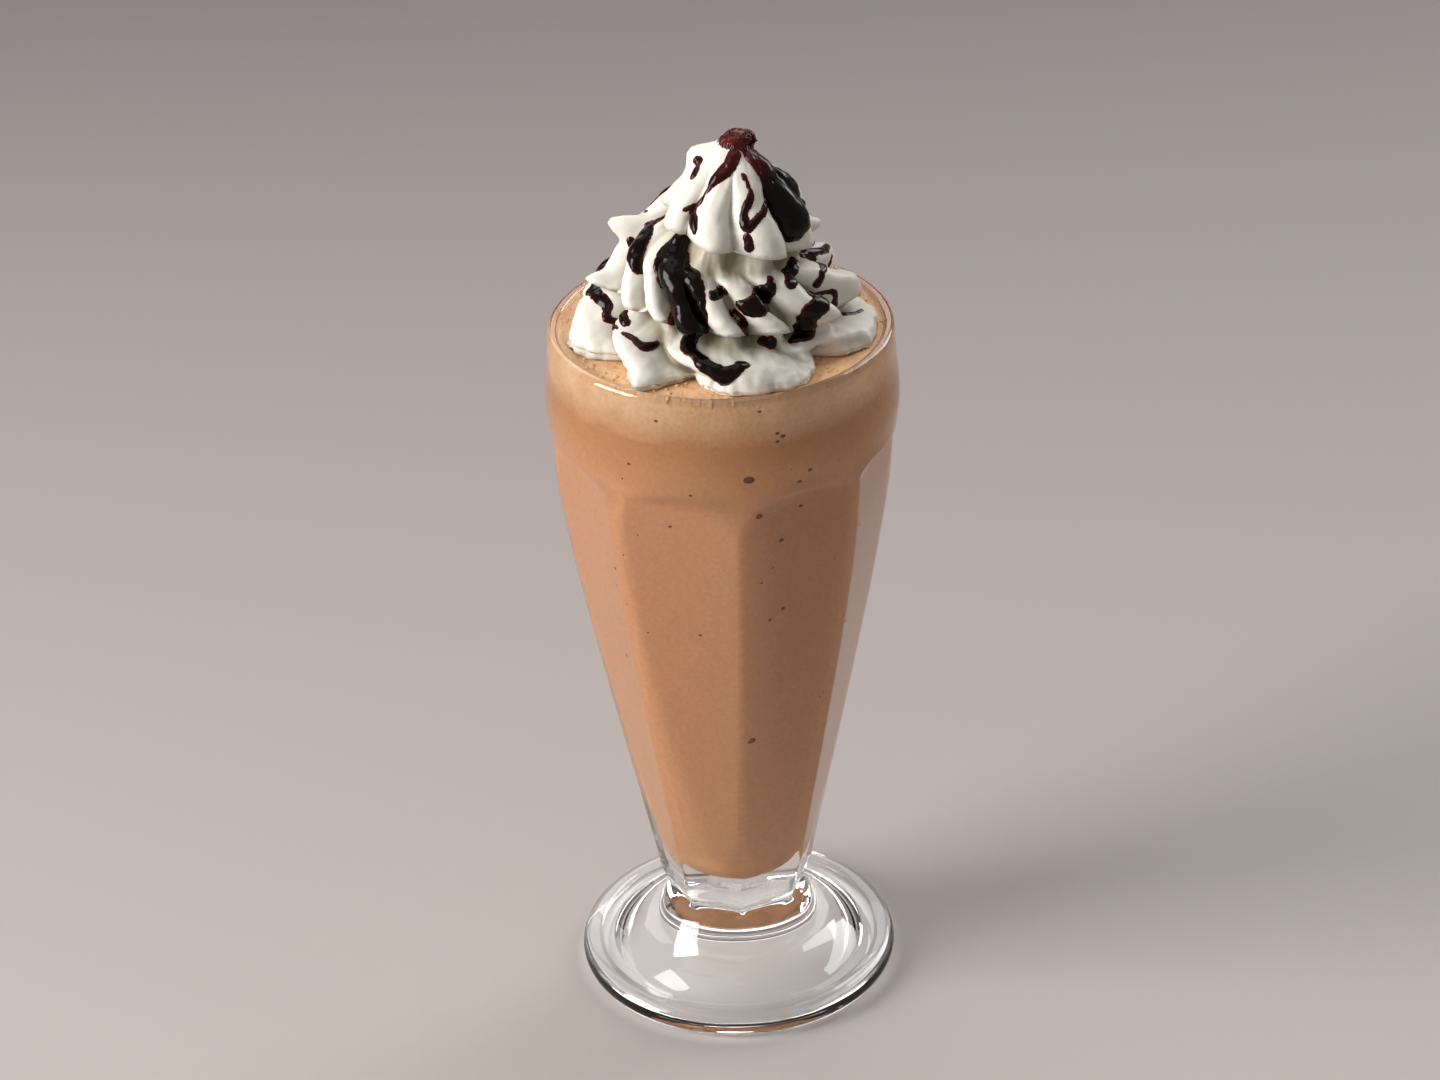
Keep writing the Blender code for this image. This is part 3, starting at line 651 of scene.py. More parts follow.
def make_milkshake():
    corner = (CAVITY_OUTLINE[0][1] - FLOOR_CORNER * 1.06, FLOOR_HEIGHT + FLOOR_CORNER)
    bottom = FLOOR_HEIGHT - INTO_WALL
    outline = [(r, bottom, NO_FLAT) for r in steps(0.0, corner[0], 1.5)]
    outline += [(r, h, NO_FLAT) for r, h in arc(corner, FLOOR_CORNER + INTO_WALL, 270, 355, 12)[1:]]
    outline += [drink_point(h) for h in steps(40.0, FROTH_BOTTOM, 2.4)]
    outline += [(r, FROTH_BOTTOM, NO_FLAT) for r in steps(cavity_radius(FROTH_BOTTOM) - 1.0, 0.0, 6.0)]
    mesh = turned_mesh("milkshake_body", outline, DRINK_COLUMNS, shake_material)
    return new_piece("milkshake_body", mesh)


milkshake = make_milkshake()
settle(milkshake, "milkshake", "milkshake")


# %% Turn the froth
def make_froth():
    top = FROTH_TOP
    bottom = FROTH_BOTTOM + 0.02
    outline = [(r, bottom, NO_FLAT) for r in steps(0.0, cavity_radius(bottom) - 1.0, 6.0)]
    outline += [drink_point(h) for h in steps(bottom, top, 0.6)]
    outline += [(r, top, NO_FLAT) for r in steps(cavity_radius(top) - 0.6, 0.0, 0.6)]
    mesh = turned_mesh("froth_layer", outline, 220, froth_material)
    for vertex in mesh.vertices:
        across = math.hypot(vertex.co.x, vertex.co.y) / MM
        if vertex.co.z > (top - 0.1) * MM and across < cavity_radius(top) - 0.3:
            lump = noise.noise(vertex.co / (4.0 * MM)) + 0.5 * noise.noise(vertex.co / (1.6 * MM))
            climb = 0.6 * smooth_step(36.0, 39.2, across)
            vertex.co.z += (0.45 * lump + climb - 0.25) * MM
    return new_piece("froth_layer", mesh)


froth = make_froth()
settle(froth, "froth", "froth")

# %% [markdown]
# ## Bubbles
#
# Whipping leaves air in the drink. On top it stands in the froth as small pale domes, and against the glass
# a popped bubble shows as a dark speck. Geometry Nodes scatters both with the same tree: it picks points on
# the surface between two heights, lays a squashed ball on each, and gives every ball a size of its own,
# with few large ones. The few biggest specks are placed one by one.

# %% The bubble tree
def bubble_tree():
    tree = bpy.data.node_groups.new("scatter_bubbles", "GeometryNodeTree")
    face = tree.interface
    face.new_socket("Geometry", in_out="INPUT", socket_type="NodeSocketGeometry")
    face.new_socket("Seed", in_out="INPUT", socket_type="NodeSocketInt")
    for name in ("Density", "Smallest", "Largest", "Low", "High", "Flatness"):
        face.new_socket(name, in_out="INPUT", socket_type="NodeSocketFloat")
    face.new_socket("Material", in_out="INPUT", socket_type="NodeSocketMaterial")
    face.new_socket("Geometry", in_out="OUTPUT", socket_type="NodeSocketGeometry")
    given = add_node(tree, "NodeGroupInput").outputs
    position = add_node(tree, "GeometryNodeInputPosition").outputs[0]
    place = add_node(tree, "ShaderNodeSeparateXYZ", {0: position})
    above = maths(tree, "GREATER_THAN", place.outputs["Z"], given["Low"])
    inside = maths(tree, "MULTIPLY", above, maths(tree, "LESS_THAN", place.outputs["Z"], given["High"]))
    spread = add_node(tree, "GeometryNodeDistributePointsOnFaces", {
        "Mesh": given["Geometry"], "Selection": inside, "Density": given["Density"], "Seed": given["Seed"]})
    ball = add_node(tree, "GeometryNodeMeshUVSphere", {"Segments": 10, "Rings": 7, "Radius": 1.0})
    draw = add_node(tree, "FunctionNodeRandomValue", {"Min": 0.0, "Max": 1.0, "Seed": given["Seed"]},
                    data_type="FLOAT")
    draw = draw.outputs[1]
    share = maths(tree, "POWER", draw, 3.0)
    span = maths(tree, "SUBTRACT", given["Largest"], given["Smallest"])
    size = maths(tree, "MULTIPLY_ADD", span, share, given["Smallest"])
    scale = add_node(tree, "ShaderNodeCombineXYZ", {
        "X": size, "Y": size, "Z": maths(tree, "MULTIPLY", size, given["Flatness"])})
    laid = add_node(tree, "GeometryNodeInstanceOnPoints", {
        "Points": spread.outputs["Points"], "Instance": ball.outputs["Mesh"],
        "Rotation": spread.outputs["Rotation"], "Scale": scale.outputs[0]})
    real = add_node(tree, "GeometryNodeRealizeInstances", {"Geometry": laid.outputs[0]})
    painted = add_node(tree, "GeometryNodeSetMaterial", {
        "Geometry": real.outputs[0], "Material": given["Material"]})
    add_node(tree, "NodeGroupOutput", {"Geometry": painted.outputs[0]})
    return tree


# %% Scatter the bubbles
BIG_SPECKS = (
    # Angle from the front in degrees, height and radius in mm
    (8, 165.0, 1.1), (11, 154.2, 0.85), (20, 145.6, 0.6), (18, 176.3, 0.45), (20, 175.3, 0.55),
    (18, 174.1, 0.45), (16, 122.2, 0.45), (8, 84.0, 1.1), (-12, 118.2, 0.4), (26, 162.2, 0.55),
    (30, 164.7, 0.5), (28, 154.0, 0.5), (-21, 150.2, 0.4), (-34, 166.8, 0.4), (-23, 179.9, 0.4),
    (-12, 160.8, 0.4), (12, 182.8, 0.4), (12, 134.5, 0.35),
)

# Painted shade: the drink's brown, darkened to stand in for the shade in the small pit that a bubble leaves
# against the glass
speck_material, tree, shader = new_material("bubble_pit_painted_shade", Roughness=0.5, Specular_IOR_Level=0.2)
shader.inputs["Base Color"].default_value = linear_colour("#6E3A1C")


def scatter(name, surface, slot, **values):
    """A piece of bubbles scattered over a surface."""
    item = new_piece(name, surface.data.copy())
    run_tree(item, scatter_tree, **values)
    item.data.shade_smooth()
    settle(item, slot)


def add_big_specks(item):
    """Add the biggest specks as squashed balls on the drink's side."""
    work = bmesh.new()
    work.from_mesh(item.data)
    for front_angle, height, size in BIG_SPECKS:
        angle = math.radians(270.0 + front_angle)
        radius, _, flat = drink_point(height)
        reach = pressed_radius(radius, flat, angle)
        place = Vector((reach * math.cos(angle), reach * math.sin(angle), height)) * MM
        matrix = Matrix.Translation(place) @ Matrix.Rotation(angle, 4, "Z")
        matrix = matrix @ Matrix.Diagonal((0.25 * size * MM, 1.2 * size * MM, 0.8 * size * MM, 1.0))
        bmesh.ops.create_uvsphere(work, u_segments=16, v_segments=10, radius=1.0, matrix=matrix)
    for speck in work.faces:
        speck.material_index = 0
    work.to_mesh(item.data)
    work.free()
    item.data.materials.clear()
    item.data.materials.append(speck_material)


scatter_tree = bubble_tree()
scatter("froth_bubbles", froth, "froth", Density=260000.0, Seed=4, Smallest=0.12 * MM, Largest=0.75 * MM,
        Low=(FROTH_TOP - 0.9) * MM, High=(FROTH_TOP + 2) * MM, Flatness=0.7, Material=froth_material)
specks = new_piece("wall_specks", milkshake.data.copy())
run_tree(specks, scatter_tree, Density=2600.0, Seed=9, Smallest=0.12 * MM, Largest=0.55 * MM,
         Low=70 * MM, High=171 * MM, Flatness=0.3, Material=speck_material)
add_big_specks(specks)
specks.data.shade_smooth()
settle(specks, "milkshake")

# %% [markdown]
# ## Whipped cream
#
# The cream was piped through a star nozzle as one rope that winds down and out from the tip. The
# rope's pleats give the swirl its ridges, and each turn lies on the one below and hangs over it a
# little. The surface is a grid: its rows follow the helix, and its columns the angle round the axis.

# %% Sizes of the cream
CREAM_BASE = 185.5
CREAM_TIP = 235.0
CREAM_TURNS = 2.8
CREAM_REACH = 38.9
CREAM_LEAN = 5.6
SNAP = 0.03
CREASE_WIDTH = 0.42
CREASE_DEPTH = 2.8
CREASE_LIFT = 0.2
GROOVE_SLANT = 30.0
GROOVE_SPACING = 14.0
CREST_SKEW = 1.35
ARM_HEIGHT = 7.0
TOP_GROOVES = (-262, -226, -188, -150, -112, -75, -35, 9, 55, 95, 137)
MIDDLE_GROOVES = (-182, -142, -106, -72, -48, -27, -7, 16, 40, 72, 108, 144)
BASE_GROOVES = (-164, -128, -100, -51, -14, 50, 124, 160)
# Thin lips where the nozzle pulled the cream out: angle, turns, reach in mm, half width in degrees
SPIKES = (
    (-104, 0.22, 3.4, 13), (-97, 0.92, 6.0, 5), (-128, 0.62, 3.5, 8), (104, 1.02, 4.5, 7),
    (150, 0.70, 4.0, 8), (-160, 1.30, 4.5, 7), (-84, 1.52, 3.5, 6), (168, 1.75, 4.0, 7),
)
CREASE_HEIGHT = (
    (0.0, 235.0), (0.25, 229.5), (0.5, 221.5), (0.75, 215.5), (1.0, 209.0), (1.25, 205.0),
    (1.5, 200.5), (1.75, 197.5), (2.0, 193.0), (2.25, 190.2), (2.5, 188.0), (2.8, 185.5),
)
CREAM_OUTLINE = (
    (185.5, 31.6), (188.0, 30.8), (192.0, 28.4), (197.0, 25.4), (203.0, 22.0), (211.0, 18.8),
    (217.0, 16.6), (223.0, 12.9), (228.0, 9.2), (232.0, 5.8), (234.0, 3.8), (235.0, 1.8),
)


# %% The pleats
GROOVES = ([float(a) for a in TOP_GROOVES] + [a + 360.0 for a in MIDDLE_GROOVES]
           + [a + 720.0 for a in BASE_GROOVES])


def between(marks, angle):
    """Which two marks an angle lies between: the distance between them, and the share of it."""
    i = max((k for k in range(len(marks) - 1) if marks[k] <= angle), default=0)
    gap = marks[i + 1] - marks[i]
    return gap, min(1.0, max(0.0, (angle - marks[i]) / gap))


def pleat(gap, share, radius, roundness):
    """The rope's relief from -1 in a groove to about 1 on the back between two far grooves."""
    width = math.radians(gap) * radius
    height = min(1.15, (width / GROOVE_SPACING) ** 1.3)
    return 2.0 * height * (1.0 - abs(2.0 * share - 1.0) ** roundness) - 1.0


def pleat_wave(along, place, radius):
    """The pleats of the turns, which slant down and round."""
    angle = (along + 0.25) * 360.0 + GROOVE_SLANT * (1.0 - place)
    gap, share = between(GROOVES, angle)
    return pleat(gap, share ** CREST_SKEW, radius, 2.0)


def base_wave(angle, radius, rise):
    """The cream's star-shaped foot: its arms lie at uneven angles and narrow to ridges as they rise."""
    front_angle = (math.degrees(angle) - 270.0 - BASE_GROOVES[0]) % 360.0
    marks = [mark - BASE_GROOVES[0] for mark in BASE_GROOVES] + [360.0]
    gap, share = between(marks, front_angle)
    return pleat(gap, share, radius, (1.15 + 1.8 * smooth_step(40.0, 70.0, gap)) * (1.0 - 0.6 * rise))


def spikes(turns, angle):
    """How far the thin lips stand out at a point of the helix, in millimetres."""
    front_angle = math.degrees(angle) - 270.0
    total = 0.0
    for spike_angle, spike_turns, reach, half_width in SPIKES:
        aside = ((front_angle - spike_angle + 180.0) % 360.0 - 180.0) / half_width
        along = (turns - spike_turns) / 0.09
        total += reach * math.exp(-aside * aside - along * along)
    return total


# %% A point on the cream
def strip_section(along, angle, place):
    """Reach from the axis and level of the cream's strip, in mm, and how free it is of tip and base."""
    depth = along + place
    depth = CREAM_TURNS if depth > CREAM_TURNS - SNAP else max(depth, 0.0)
    depth = 0.0 if depth < SNAP else depth
    height = smooth_value(CREASE_HEIGHT, depth)
    mean = smooth_value(CREAM_OUTLINE, height)
    rise = min(1.0, (height - CREAM_BASE) / ARM_HEIGHT)
    near_base = 1.0 - smooth_step(0.0, 1.0, rise)
    near_tip = smooth_step(226.0, CREAM_TIP, height)
    wave = pleat_wave(along, place, mean) * (1.0 - near_base) + base_wave(angle, mean, rise) * near_base
    full = 0.45 + 0.55 * smooth_step(5.0, 24.0, mean)
    bulge = (2.1 * smooth_step(-0.1, 0.6, place) - 0.7 * smooth_step(0.86, 1.0, place)) * full
    bulge = bulge * (1.0 - near_base) * (1.0 - near_tip) + 0.4 * near_base
    share = (0.08 + 0.09 * smooth_step(0.1, 0.95, place)) * (1.0 - near_base) + 0.19 * near_base
    relief = bulge + share * mean * wave * (1.0 - near_tip)
    lump = noise.noise(Vector((math.cos(angle) * mean, math.sin(angle) * mean, height)) * 0.085)
    lip = spikes(depth, angle)
    reach = mean + relief * 0.86 + lump * 1.1 * (1.0 - near_tip) + lip
    droop = smooth_step(0.45, 1.0, place) * (0.4 + 1.0 * (wave + 1.0))
    hang = smooth_step(CREAM_BASE + 1.0, CREAM_BASE + 9.0, height) * (1.0 - near_tip)
    low = 1.0 - smooth_step(CREAM_BASE + 3.0, CREAM_BASE + 16.0, height)
    lift = (0.38 + 0.5 * low) * smooth_step(0.25, 0.9, place)
    clear = smooth_step(CREAM_BASE + 3.0, CREAM_BASE + 11.0, height) * (1.0 - near_tip)
    level = height + relief * lift * clear - droop * hang + 0.35 * lip
    return reach, level, (1.0 - near_base) * (1.0 - near_tip)


def cream_point(turn, angle, place):
    """A point on the cream: which turn of the helix, the angle round it, the place across it."""
    along = turn + angle / (2 * math.pi)
    reach, level, _ = strip_section(along, angle, place)
    if place < CREASE_WIDTH and along + place < CREAM_TURNS - SNAP:
        edge_reach, edge_level, edge_free = strip_section(along - 1.0, angle, 1.0)
        own = smooth_step(0.0, CREASE_WIDTH * 0.5, place)
        level = min(level, edge_level) * own + (edge_level + CREASE_LIFT * edge_free) * (1.0 - own)
        own = smooth_step(CREASE_WIDTH * 0.15, CREASE_WIDTH, place)
        reach = reach * own + (edge_reach - CREASE_DEPTH * edge_free) * (1.0 - own)
    level = max(level, CREAM_BASE)
    soft_reach = CREAM_REACH - 2.0
    if reach > soft_reach and level < 192.0:
        reach = soft_reach + 2.0 * math.tanh((reach - soft_reach) / 2.0)
    lean = CREAM_LEAN * smooth_step(205.0, 238.0, level)
    return Vector((reach * math.cos(angle) + lean, reach * math.sin(angle), level)) * MM


# %% The cream's skin
CREAM_COLUMNS = 340
CREAM_ROWS = 28


def cream_mesh(columns, places):
    """One closed skin: rows that follow the helix, a small cap at the tip and a flat base."""
    work = bmesh.new()
    rows = [(turn, place) for turn in range(-1, math.ceil(CREAM_TURNS)) for place in places]
    per_turn = len(places)
    angles = [2 * math.pi * j / columns for j in range(columns)]
    grid = [[work.verts.new(cream_point(turn, angle, place)) for angle in angles]
            for turn, place in rows]
    for i in range(len(rows) - 1):
        for j in range(columns - 1):
            work.faces.new((grid[i][j], grid[i + 1][j], grid[i + 1][j + 1], grid[i][j + 1]))
        if i + per_turn + 1 < len(rows):
            seam = (grid[i][-1], grid[i + 1][-1], grid[i + per_turn + 1][0], grid[i + per_turn][0])
            work.faces.new(seam)
    bmesh.ops.remove_doubles(work, verts=work.verts, dist=0.00002)
    bmesh.ops.holes_fill(work, edges=[edge for edge in work.edges if edge.is_boundary], sides=0)
    bmesh.ops.triangulate(work, faces=[face for face in work.faces if len(face.verts) > 4])
    bmesh.ops.recalc_face_normals(work, faces=work.faces)
    mesh = bpy.data.meshes.new("whipped_cream_swirl")
    work.to_mesh(mesh)
    work.free()
    return mesh


# %% Cream material
# Fat and air make it nearly white with a soft sheen; deep in a fold its colour is painted warmer and
# darker, as painted shade
cream_material, tree, shader = new_material("whipped_cream", Roughness=0.42, Specular_IOR_Level=0.4)
hollow = add_node(tree, "ShaderNodeAttribute", attribute_name="hollow")
painted_fold_shade = add_node(tree, "ShaderNodeMapRange", {
    "Value": hollow.outputs["Fac"], "From Min": 0.05, "From Max": 0.9})
tone = blend(tree, painted_fold_shade.outputs[0], linear_colour("#DBD6CA"), linear_colour("#A0967F"))
tree.links.new(tone, shader.inputs["Base Color"])
where = add_node(tree, "ShaderNodeTexCoord").outputs["Object"]
fine = add_node(tree, "ShaderNodeTexNoise", {"Vector": where, "Scale": 1 / (1.6 * MM), "Detail": 4.0})
skin = add_node(tree, "ShaderNodeBump", {
    "Height": fine.outputs[0], "Distance": 0.25 * MM, "Strength": 0.35})
tree.links.new(skin.outputs[0], shader.inputs["Normal"])


# %% [markdown]
# Piped cream is crumpled and torn at its edges, more than the pleats alone say. Noise moves the
# skin in and out a little, most along the foot. Then the folds are deepened: a heavily smoothed copy
# shows where the skin lies below its surroundings, and there it is pushed in further.

# %% Make the cream
FOLD_SMOOTHING = 160
FOLD_GAIN = 0.9
DEEPEST_FOLD = 0.8
HIGHEST_RIDGE = 0.5


def make_cream():
    mesh = cream_mesh(CREAM_COLUMNS, [i / CREAM_ROWS for i in range(CREAM_ROWS + 1)])
    normals = [vertex.normal.copy() for vertex in mesh.vertices]
    for vertex, normal in zip(mesh.vertices, normals):
        if vertex.co.z > (CREAM_BASE + 0.6) * MM:
            crumple = noise.noise(vertex.co / (3.0 * MM)) + 0.6 * noise.noise(vertex.co / (1.3 * MM))
            vertex.co += normal * crumple * 0.16 * MM
        low = 1.0 - smooth_step(CREAM_BASE + 1.0, CREAM_BASE + 6.0, vertex.co.z / MM)
        edge = Vector((vertex.co.x, vertex.co.y, 0.0))
        tear = noise.noise(edge / (5.0 * MM)) + 0.7 * noise.noise(edge / (2.1 * MM))
        if edge.length > 20.0 * MM:
            vertex.co += edge.normalized() * (tear * 1.1 - 0.3) * low * MM
    mesh.materials.append(cream_material)
    mesh.shade_smooth()
    return new_piece("whipped_cream_swirl", mesh)


def deepen_folds(item):
    """Sharpen the folds and ridges, and store how deep each vertex lies in a fold, in millimetres, which
    the cream's colour uses for painted shade.
    """
    item.modifiers.new("smooth", "SMOOTH").iterations = FOLD_SMOOTHING
    bpy.context.view_layer.update()
    smooth = item.evaluated_get(bpy.context.evaluated_depsgraph_get()).data
    depths = [(s.co - v.co).dot(v.normal) / MM for s, v in zip(smooth.vertices, item.data.vertices)]
    item.modifiers.clear()
    normals = [vertex.normal.copy() for vertex in item.data.vertices]
    for vertex, normal, depth in zip(item.data.vertices, normals, depths):
        if vertex.co.z > (CREAM_BASE + 0.6) * MM:
            vertex.co -= normal * min(DEEPEST_FOLD, max(-HIGHEST_RIDGE, FOLD_GAIN * depth)) * MM
    item.data.attributes.new("hollow", "FLOAT", "POINT").data.foreach_set("value", depths)
    print("folds in mm, from ridge to groove:", np.percentile(depths, [2, 50, 98]).round(2))


cream = make_cream()
deepen_folds(cream)
settle(cream, "whipped_cream", "whipped_cream")

# %% [markdown]
# ## Chocolate sauce
#
# The sauce was drizzled from a squeeze bottle: thick runs that lie in the grooves of the cream and
# thin threads between them. Sauce clings, so each run is laid out on the cream's own skin, as stops
# of an angle from the front, the turns down from the tip, and a width in millimetres.

# %% Where the sauce lies
SAUCE_RUNS = (
    # Big run down the middle groove, with its curl at the foot
    ((-37, 0.81, 2.6), (-43, 0.85, 6.2), (-40, 0.94, 8.2), (-29, 1.10, 9.6), (-19, 1.31, 9.6),
     (-16, 1.49, 8.4), (-17, 1.80, 5.6), (-17, 1.96, 3.6), (-10, 2.05, 3.4), (-5, 2.17, 3.8),
     (0, 2.30, 4.6), (4, 2.21, 3.6), (8, 2.14, 3.6)),
    ((-28, 1.45, 2.6), (-26, 1.62, 2.8)),
    # Right of the tip
    ((62, 0.13, 5.0), (55, 0.20, 7.4), (54, 0.27, 6.4)),
    ((48, 0.27, 3.6), (44, 0.35, 2.6), (50, 0.43, 3.4)),
    ((58, 0.41, 6.0), (62, 0.50, 10.0), (65, 0.60, 11.0), (61, 0.72, 7.4)),
    ((84, 0.36, 3.4), (86, 0.46, 6.6), (86, 0.56, 7.2), (82, 0.66, 5.0)),
    ((92, 0.62, 2.6), (100, 0.76, 3.0), (104, 0.88, 2.4)),
    ((87, 0.30, 1.5), (95, 0.49, 1.6)),
    ((11, 0.26, 1.2), (19, 0.37, 1.6), (14, 0.47, 2.2), (17, 0.57, 2.6), (26, 0.51, 2.0), (37, 0.46, 1.8)),
    ((17, 0.66, 2.2), (19, 0.74, 2.4)),
    # Left of the tip
    ((-8, 0.11, 3.5), (-17, 0.22, 3.6), (-28, 0.29, 3.0), (-31, 0.37, 1.4), (-35, 0.43, 1.6),
     (-46, 0.48, 1.2)),
    ((-38, 0.49, 2.4), (-31, 0.54, 3.0), (-26, 0.59, 2.6)),
    ((-89, 0.24, 2.2), (-76, 0.27, 2.6), (-66, 0.32, 2.2)),
    # Middle turn
    ((35, 1.13, 1.6), (31, 1.28, 3.2), (25, 1.39, 5.6), (18, 1.42, 5.0), (11, 1.38, 2.0)),
    ((-4, 1.27, 2.6), (2, 1.24, 2.8)),
    ((8, 1.49, 2.0), (13, 1.60, 2.2), (13, 1.76, 2.0)),
    ((67, 1.16, 3.0), (56, 1.23, 3.4), (43, 1.27, 3.0)),
    ((96, 1.44, 1.8), (76, 1.37, 2.0), (67, 1.47, 2.4)),
    ((82, 1.22, 2.6), (102, 1.40, 2.4), (116, 1.64, 1.8)),
    ((78, 1.02, 1.8), (92, 1.06, 2.0)),
    ((114, 1.82, 1.6), (112, 1.87, 1.6)),
    ((-86, 0.74, 1.8), (-88, 0.83, 3.2), (-77, 0.90, 4.4), (-71, 1.01, 4.6), (-64, 1.13, 3.8)),
    ((-90, 1.03, 2.4), (-84, 1.08, 3.0)),
    ((-115, 0.79, 1.2), (-106, 0.81, 1.2)),
    # Lowest turn
    ((23, 2.01, 2.6), (27, 2.04, 3.2)),
    ((53, 1.49, 3.0), (55, 1.60, 5.2), (46, 1.74, 4.8), (49, 2.03, 4.8), (44, 2.11, 3.4), (38, 2.12, 1.2)),
    ((52, 1.44, 1.4), (70, 1.71, 1.2), (76, 1.78, 1.6), (78, 1.93, 2.2), (80, 2.20, 1.6), (88, 2.34, 1.0)),
    ((-91, 1.45, 4.4), (-105, 1.75, 6.6), (-98, 1.84, 5.6), (-83, 1.83, 3.2), (-76, 1.89, 2.6),
     (-70, 2.00, 2.0), (-58, 1.99, 1.8)),
    ((-115, 2.10, 2.4), (-91, 1.90, 2.4)),
    ((-61, 1.85, 2.6), (-55, 1.88, 2.4)),
    ((-58, 1.95, 1.0), (-46, 1.97, 1.6), (-37, 2.04, 2.8), (-34, 2.02, 1.4)),
    # Back of the swirl
    ((118, 0.40, 3.4), (124, 0.70, 5.4), (132, 1.00, 6.0), (138, 1.30, 4.0)),
    ((158, 0.90, 3.6), (166, 1.25, 6.0), (172, 1.60, 5.4), (178, 1.90, 3.4)),
    ((206, 0.30, 3.2), (212, 0.60, 4.8), (222, 0.95, 4.0)),
    ((226, 1.30, 4.0), (232, 1.65, 5.6), (238, 2.05, 3.6)),
    ((186, 1.95, 1.4), (198, 1.70, 2.2), (208, 1.60, 1.8), (216, 1.80, 1.4)),
)
CAP_HALF = 4.6
SAMPLE_STEP = 0.5


def cream_surface(front_angle, turns):
    """The point of the cream's skin at an angle from the front and so many turns down from the tip."""
    share = ((270.0 + front_angle) % 360.0) / 360.0
    turn = math.floor(turns - share)
    return cream_point(turn, share * 2 * math.pi, turns - share - turn)


def between_stops(values, place):
    """Catmull-Rom through equally spaced values."""
    i = min(int(place), len(values) - 2)
    t = place - i
    before = values[max(i - 1, 0)]
    after = values[min(i + 2, len(values) - 1)]
    start, end = values[i], values[i + 1]
    return 0.5 * (2 * start + (end - before) * t + (2 * before - 5 * start + 4 * end - after) * t * t
                  + (3 * start - before - 3 * end + after) * t ** 3)


def sauce_samples():
    """Points along every run in metres, each with half the run's width there."""
    samples = [(*(Vector((CREAM_LEAN, 0.0, CREAM_TIP - 1.0)) * MM), CAP_HALF * MM)]
    for run in SAUCE_RUNS:
        stops = [cream_surface(angle, turns) for angle, turns, _ in run]
        length = sum((b - a).length for a, b in zip(stops, stops[1:]))
        count = max(2, math.ceil(length / (SAMPLE_STEP * MM)))
        for k in range(count + 1):
            place = (len(run) - 1) * k / count
            angle, turns, width = (between_stops([stop[n] for stop in run], place) for n in range(3))
            samples.append((*cream_surface(angle, turns), width / 2 * MM))
    return np.array(samples)


# %% [markdown]
# ## Laying the sauce on the cream
#
# Tubes would hang over the grooves like string, so the sauce is made from the cream's own faces.
# At each vertex the distance inside the nearest run says how thick the sauce is there: it rises
# like the edge of a drop, and just outside the run it dives under the cream. The lifted skin and a
# sunken copy of it are then joined along their rim, which makes a closed piece.

# %% How thick the sauce is
RIM = 0.7


def sauce_field(points, samples):
    """How far inside a run each point lies, and half of that run's width, in metres."""
    inside = np.full(len(points), -1.0)
    half = np.zeros(len(points))
    for x, y, z, reach in samples:
        gap = reach - np.sqrt(((points - (x, y, z)) ** 2).sum(axis=1))
        better = gap > inside
        inside[better] = gap[better]
        half[better] = reach
    return inside, half


def ragged(point):
    """A small uneven shift of the edge of the sauce, in metres."""
    return (0.42 * noise.noise(point / (2.4 * MM)) + 0.2 * noise.noise(point / (1.0 * MM))) * MM


def sauce_height(inside, half):
    """Height of the sauce over the cream, from how far inside its edge a point lies."""
    if inside <= 0.0:
        return -0.35 * MM * min(1.0, -inside / (RIM * MM))
    share = min(1.0, inside / max(half, 0.6 * MM))
    thickness = min(1.5 * MM, 0.18 * MM + 0.34 * half)
    return thickness * math.sqrt(1.0 - (1.0 - share) ** 2)


# %% Sauce material
# Sugar syrup with cocoa: wet gloss, nearly black where it is thick and red-brown where it runs thin
sauce_material, tree, shader = new_material(
    "thick_chocolate_sauce", Roughness=0.16, IOR=1.46, Specular_IOR_Level=0.2)
depth = add_node(tree, "ShaderNodeAttribute", attribute_name="sauce_depth")
tone = add_node(tree, "ShaderNodeValToRGB", {"Fac": depth.outputs["Fac"]})
tone.color_ramp.elements[0].position = 0.05
tone.color_ramp.elements[0].color = linear_colour("#4A120B")
tone.color_ramp.elements[1].position = 0.55
tone.color_ramp.elements[1].color = linear_colour("#0C0302")
where = add_node(tree, "ShaderNodeTexCoord").outputs["Object"]
height = add_node(tree, "ShaderNodeSeparateXYZ", {0: where}).outputs["Z"]
blush = add_node(tree, "ShaderNodeMapRange", {
    "Value": height, "From Min": 0.227, "From Max": 0.236, "To Min": 0.0, "To Max": 0.75})
redder = add_node(tree, "ShaderNodeMix", {
    "Factor": blush.outputs[0], "A": tone.outputs[0], "B": linear_colour("#5A150E")}, data_type="RGBA")
tree.links.new(redder.outputs["Result"], shader.inputs["Base Color"])


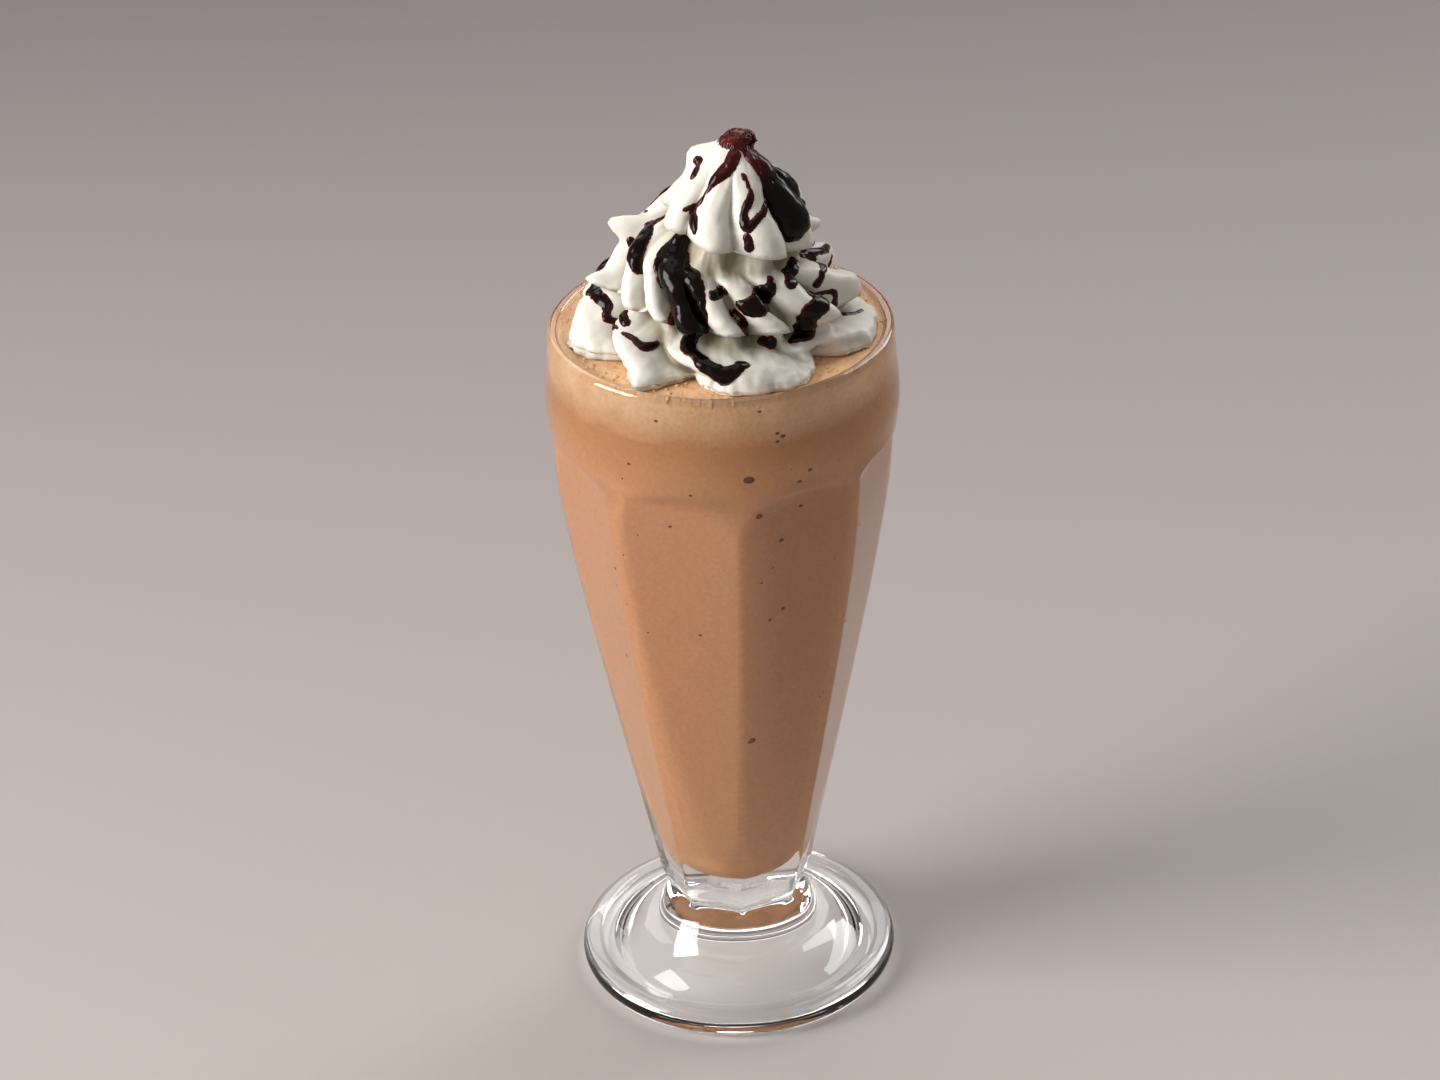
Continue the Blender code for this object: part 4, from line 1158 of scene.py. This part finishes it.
# %% Make the sauce
def lift_skin(mesh, samples):
    """The cream's faces near the runs, cut finer: vertices, normals, faces and the sauce's field."""
    work = bmesh.new()
    work.from_mesh(mesh)
    work.verts.index_update()
    inside, _ = sauce_field(np.array([v.co for v in work.verts]), samples)
    far = [face for face in work.faces if all(inside[v.index] < -2.2 * RIM * MM for v in face.verts)]
    bmesh.ops.delete(work, geom=far, context="FACES")
    bmesh.ops.subdivide_edges(work, edges=work.edges, cuts=1, use_grid_fill=True)
    work.normal_update()
    work.verts.index_update()
    points = np.array([v.co for v in work.verts])
    normals = np.array([v.normal for v in work.verts])
    inside, half = sauce_field(points, samples)
    inside += np.array([ragged(v.co) for v in work.verts])
    faces = [[v.index for v in face.verts] for face in work.faces]
    faces = [face for face in faces if max(inside[face]) > -RIM * MM]
    work.free()
    return points, normals, faces, inside, half


def closed_shell(top, bottom, faces):
    """A closed mesh from an upper and a lower sheet with the same faces, joined along their rims."""
    count = len(top)
    directed = {(a, b) for face in faces for a, b in zip(face, face[1:] + face[:1])}
    rim = [(a, b) for a, b in directed if (b, a) not in directed]
    sides = [(b, a, a + count, b + count) for a, b in rim]
    under = [[k + count for k in reversed(face)] for face in faces]
    mesh = bpy.data.meshes.new("shell")
    mesh.from_pydata(np.vstack((top, bottom)).tolist(), [], faces + under + sides)
    return mesh


def make_sauce(cream):
    points, normals, faces, inside, half = lift_skin(cream.data, sauce_samples())
    rise = np.array([sauce_height(i, h) for i, h in zip(inside, half)])
    clumps = np.array([noise.noise(Vector(p) / (2.2 * MM)) for p in points])
    lumpy = np.clip((points[:, 2] - 0.226) / 0.008, 0.3, 1.0)
    rise += np.where(rise > 0.5 * MM, clumps * lumpy * 0.7 * MM, 0.0)
    used = sorted({k for face in faces for k in face})
    order = {k: n for n, k in enumerate(used)}
    faces = [[order[k] for k in face] for face in faces]
    points, normals, rise = points[used], normals[used], rise[used]
    mesh = closed_shell(points + normals * rise[:, None], points - normals * 0.5 * MM, faces)
    attribute = mesh.attributes.new("sauce_depth", "FLOAT", "POINT")
    depths = np.concatenate((np.maximum(rise, 0.0) / MM, np.zeros(len(used))))
    attribute.data.foreach_set("value", depths)
    mesh.materials.append(sauce_material)
    mesh.shade_smooth()
    return new_piece("chocolate_sauce", mesh)


sauce = make_sauce(cream)
settle(sauce, "chocolate_sauce")
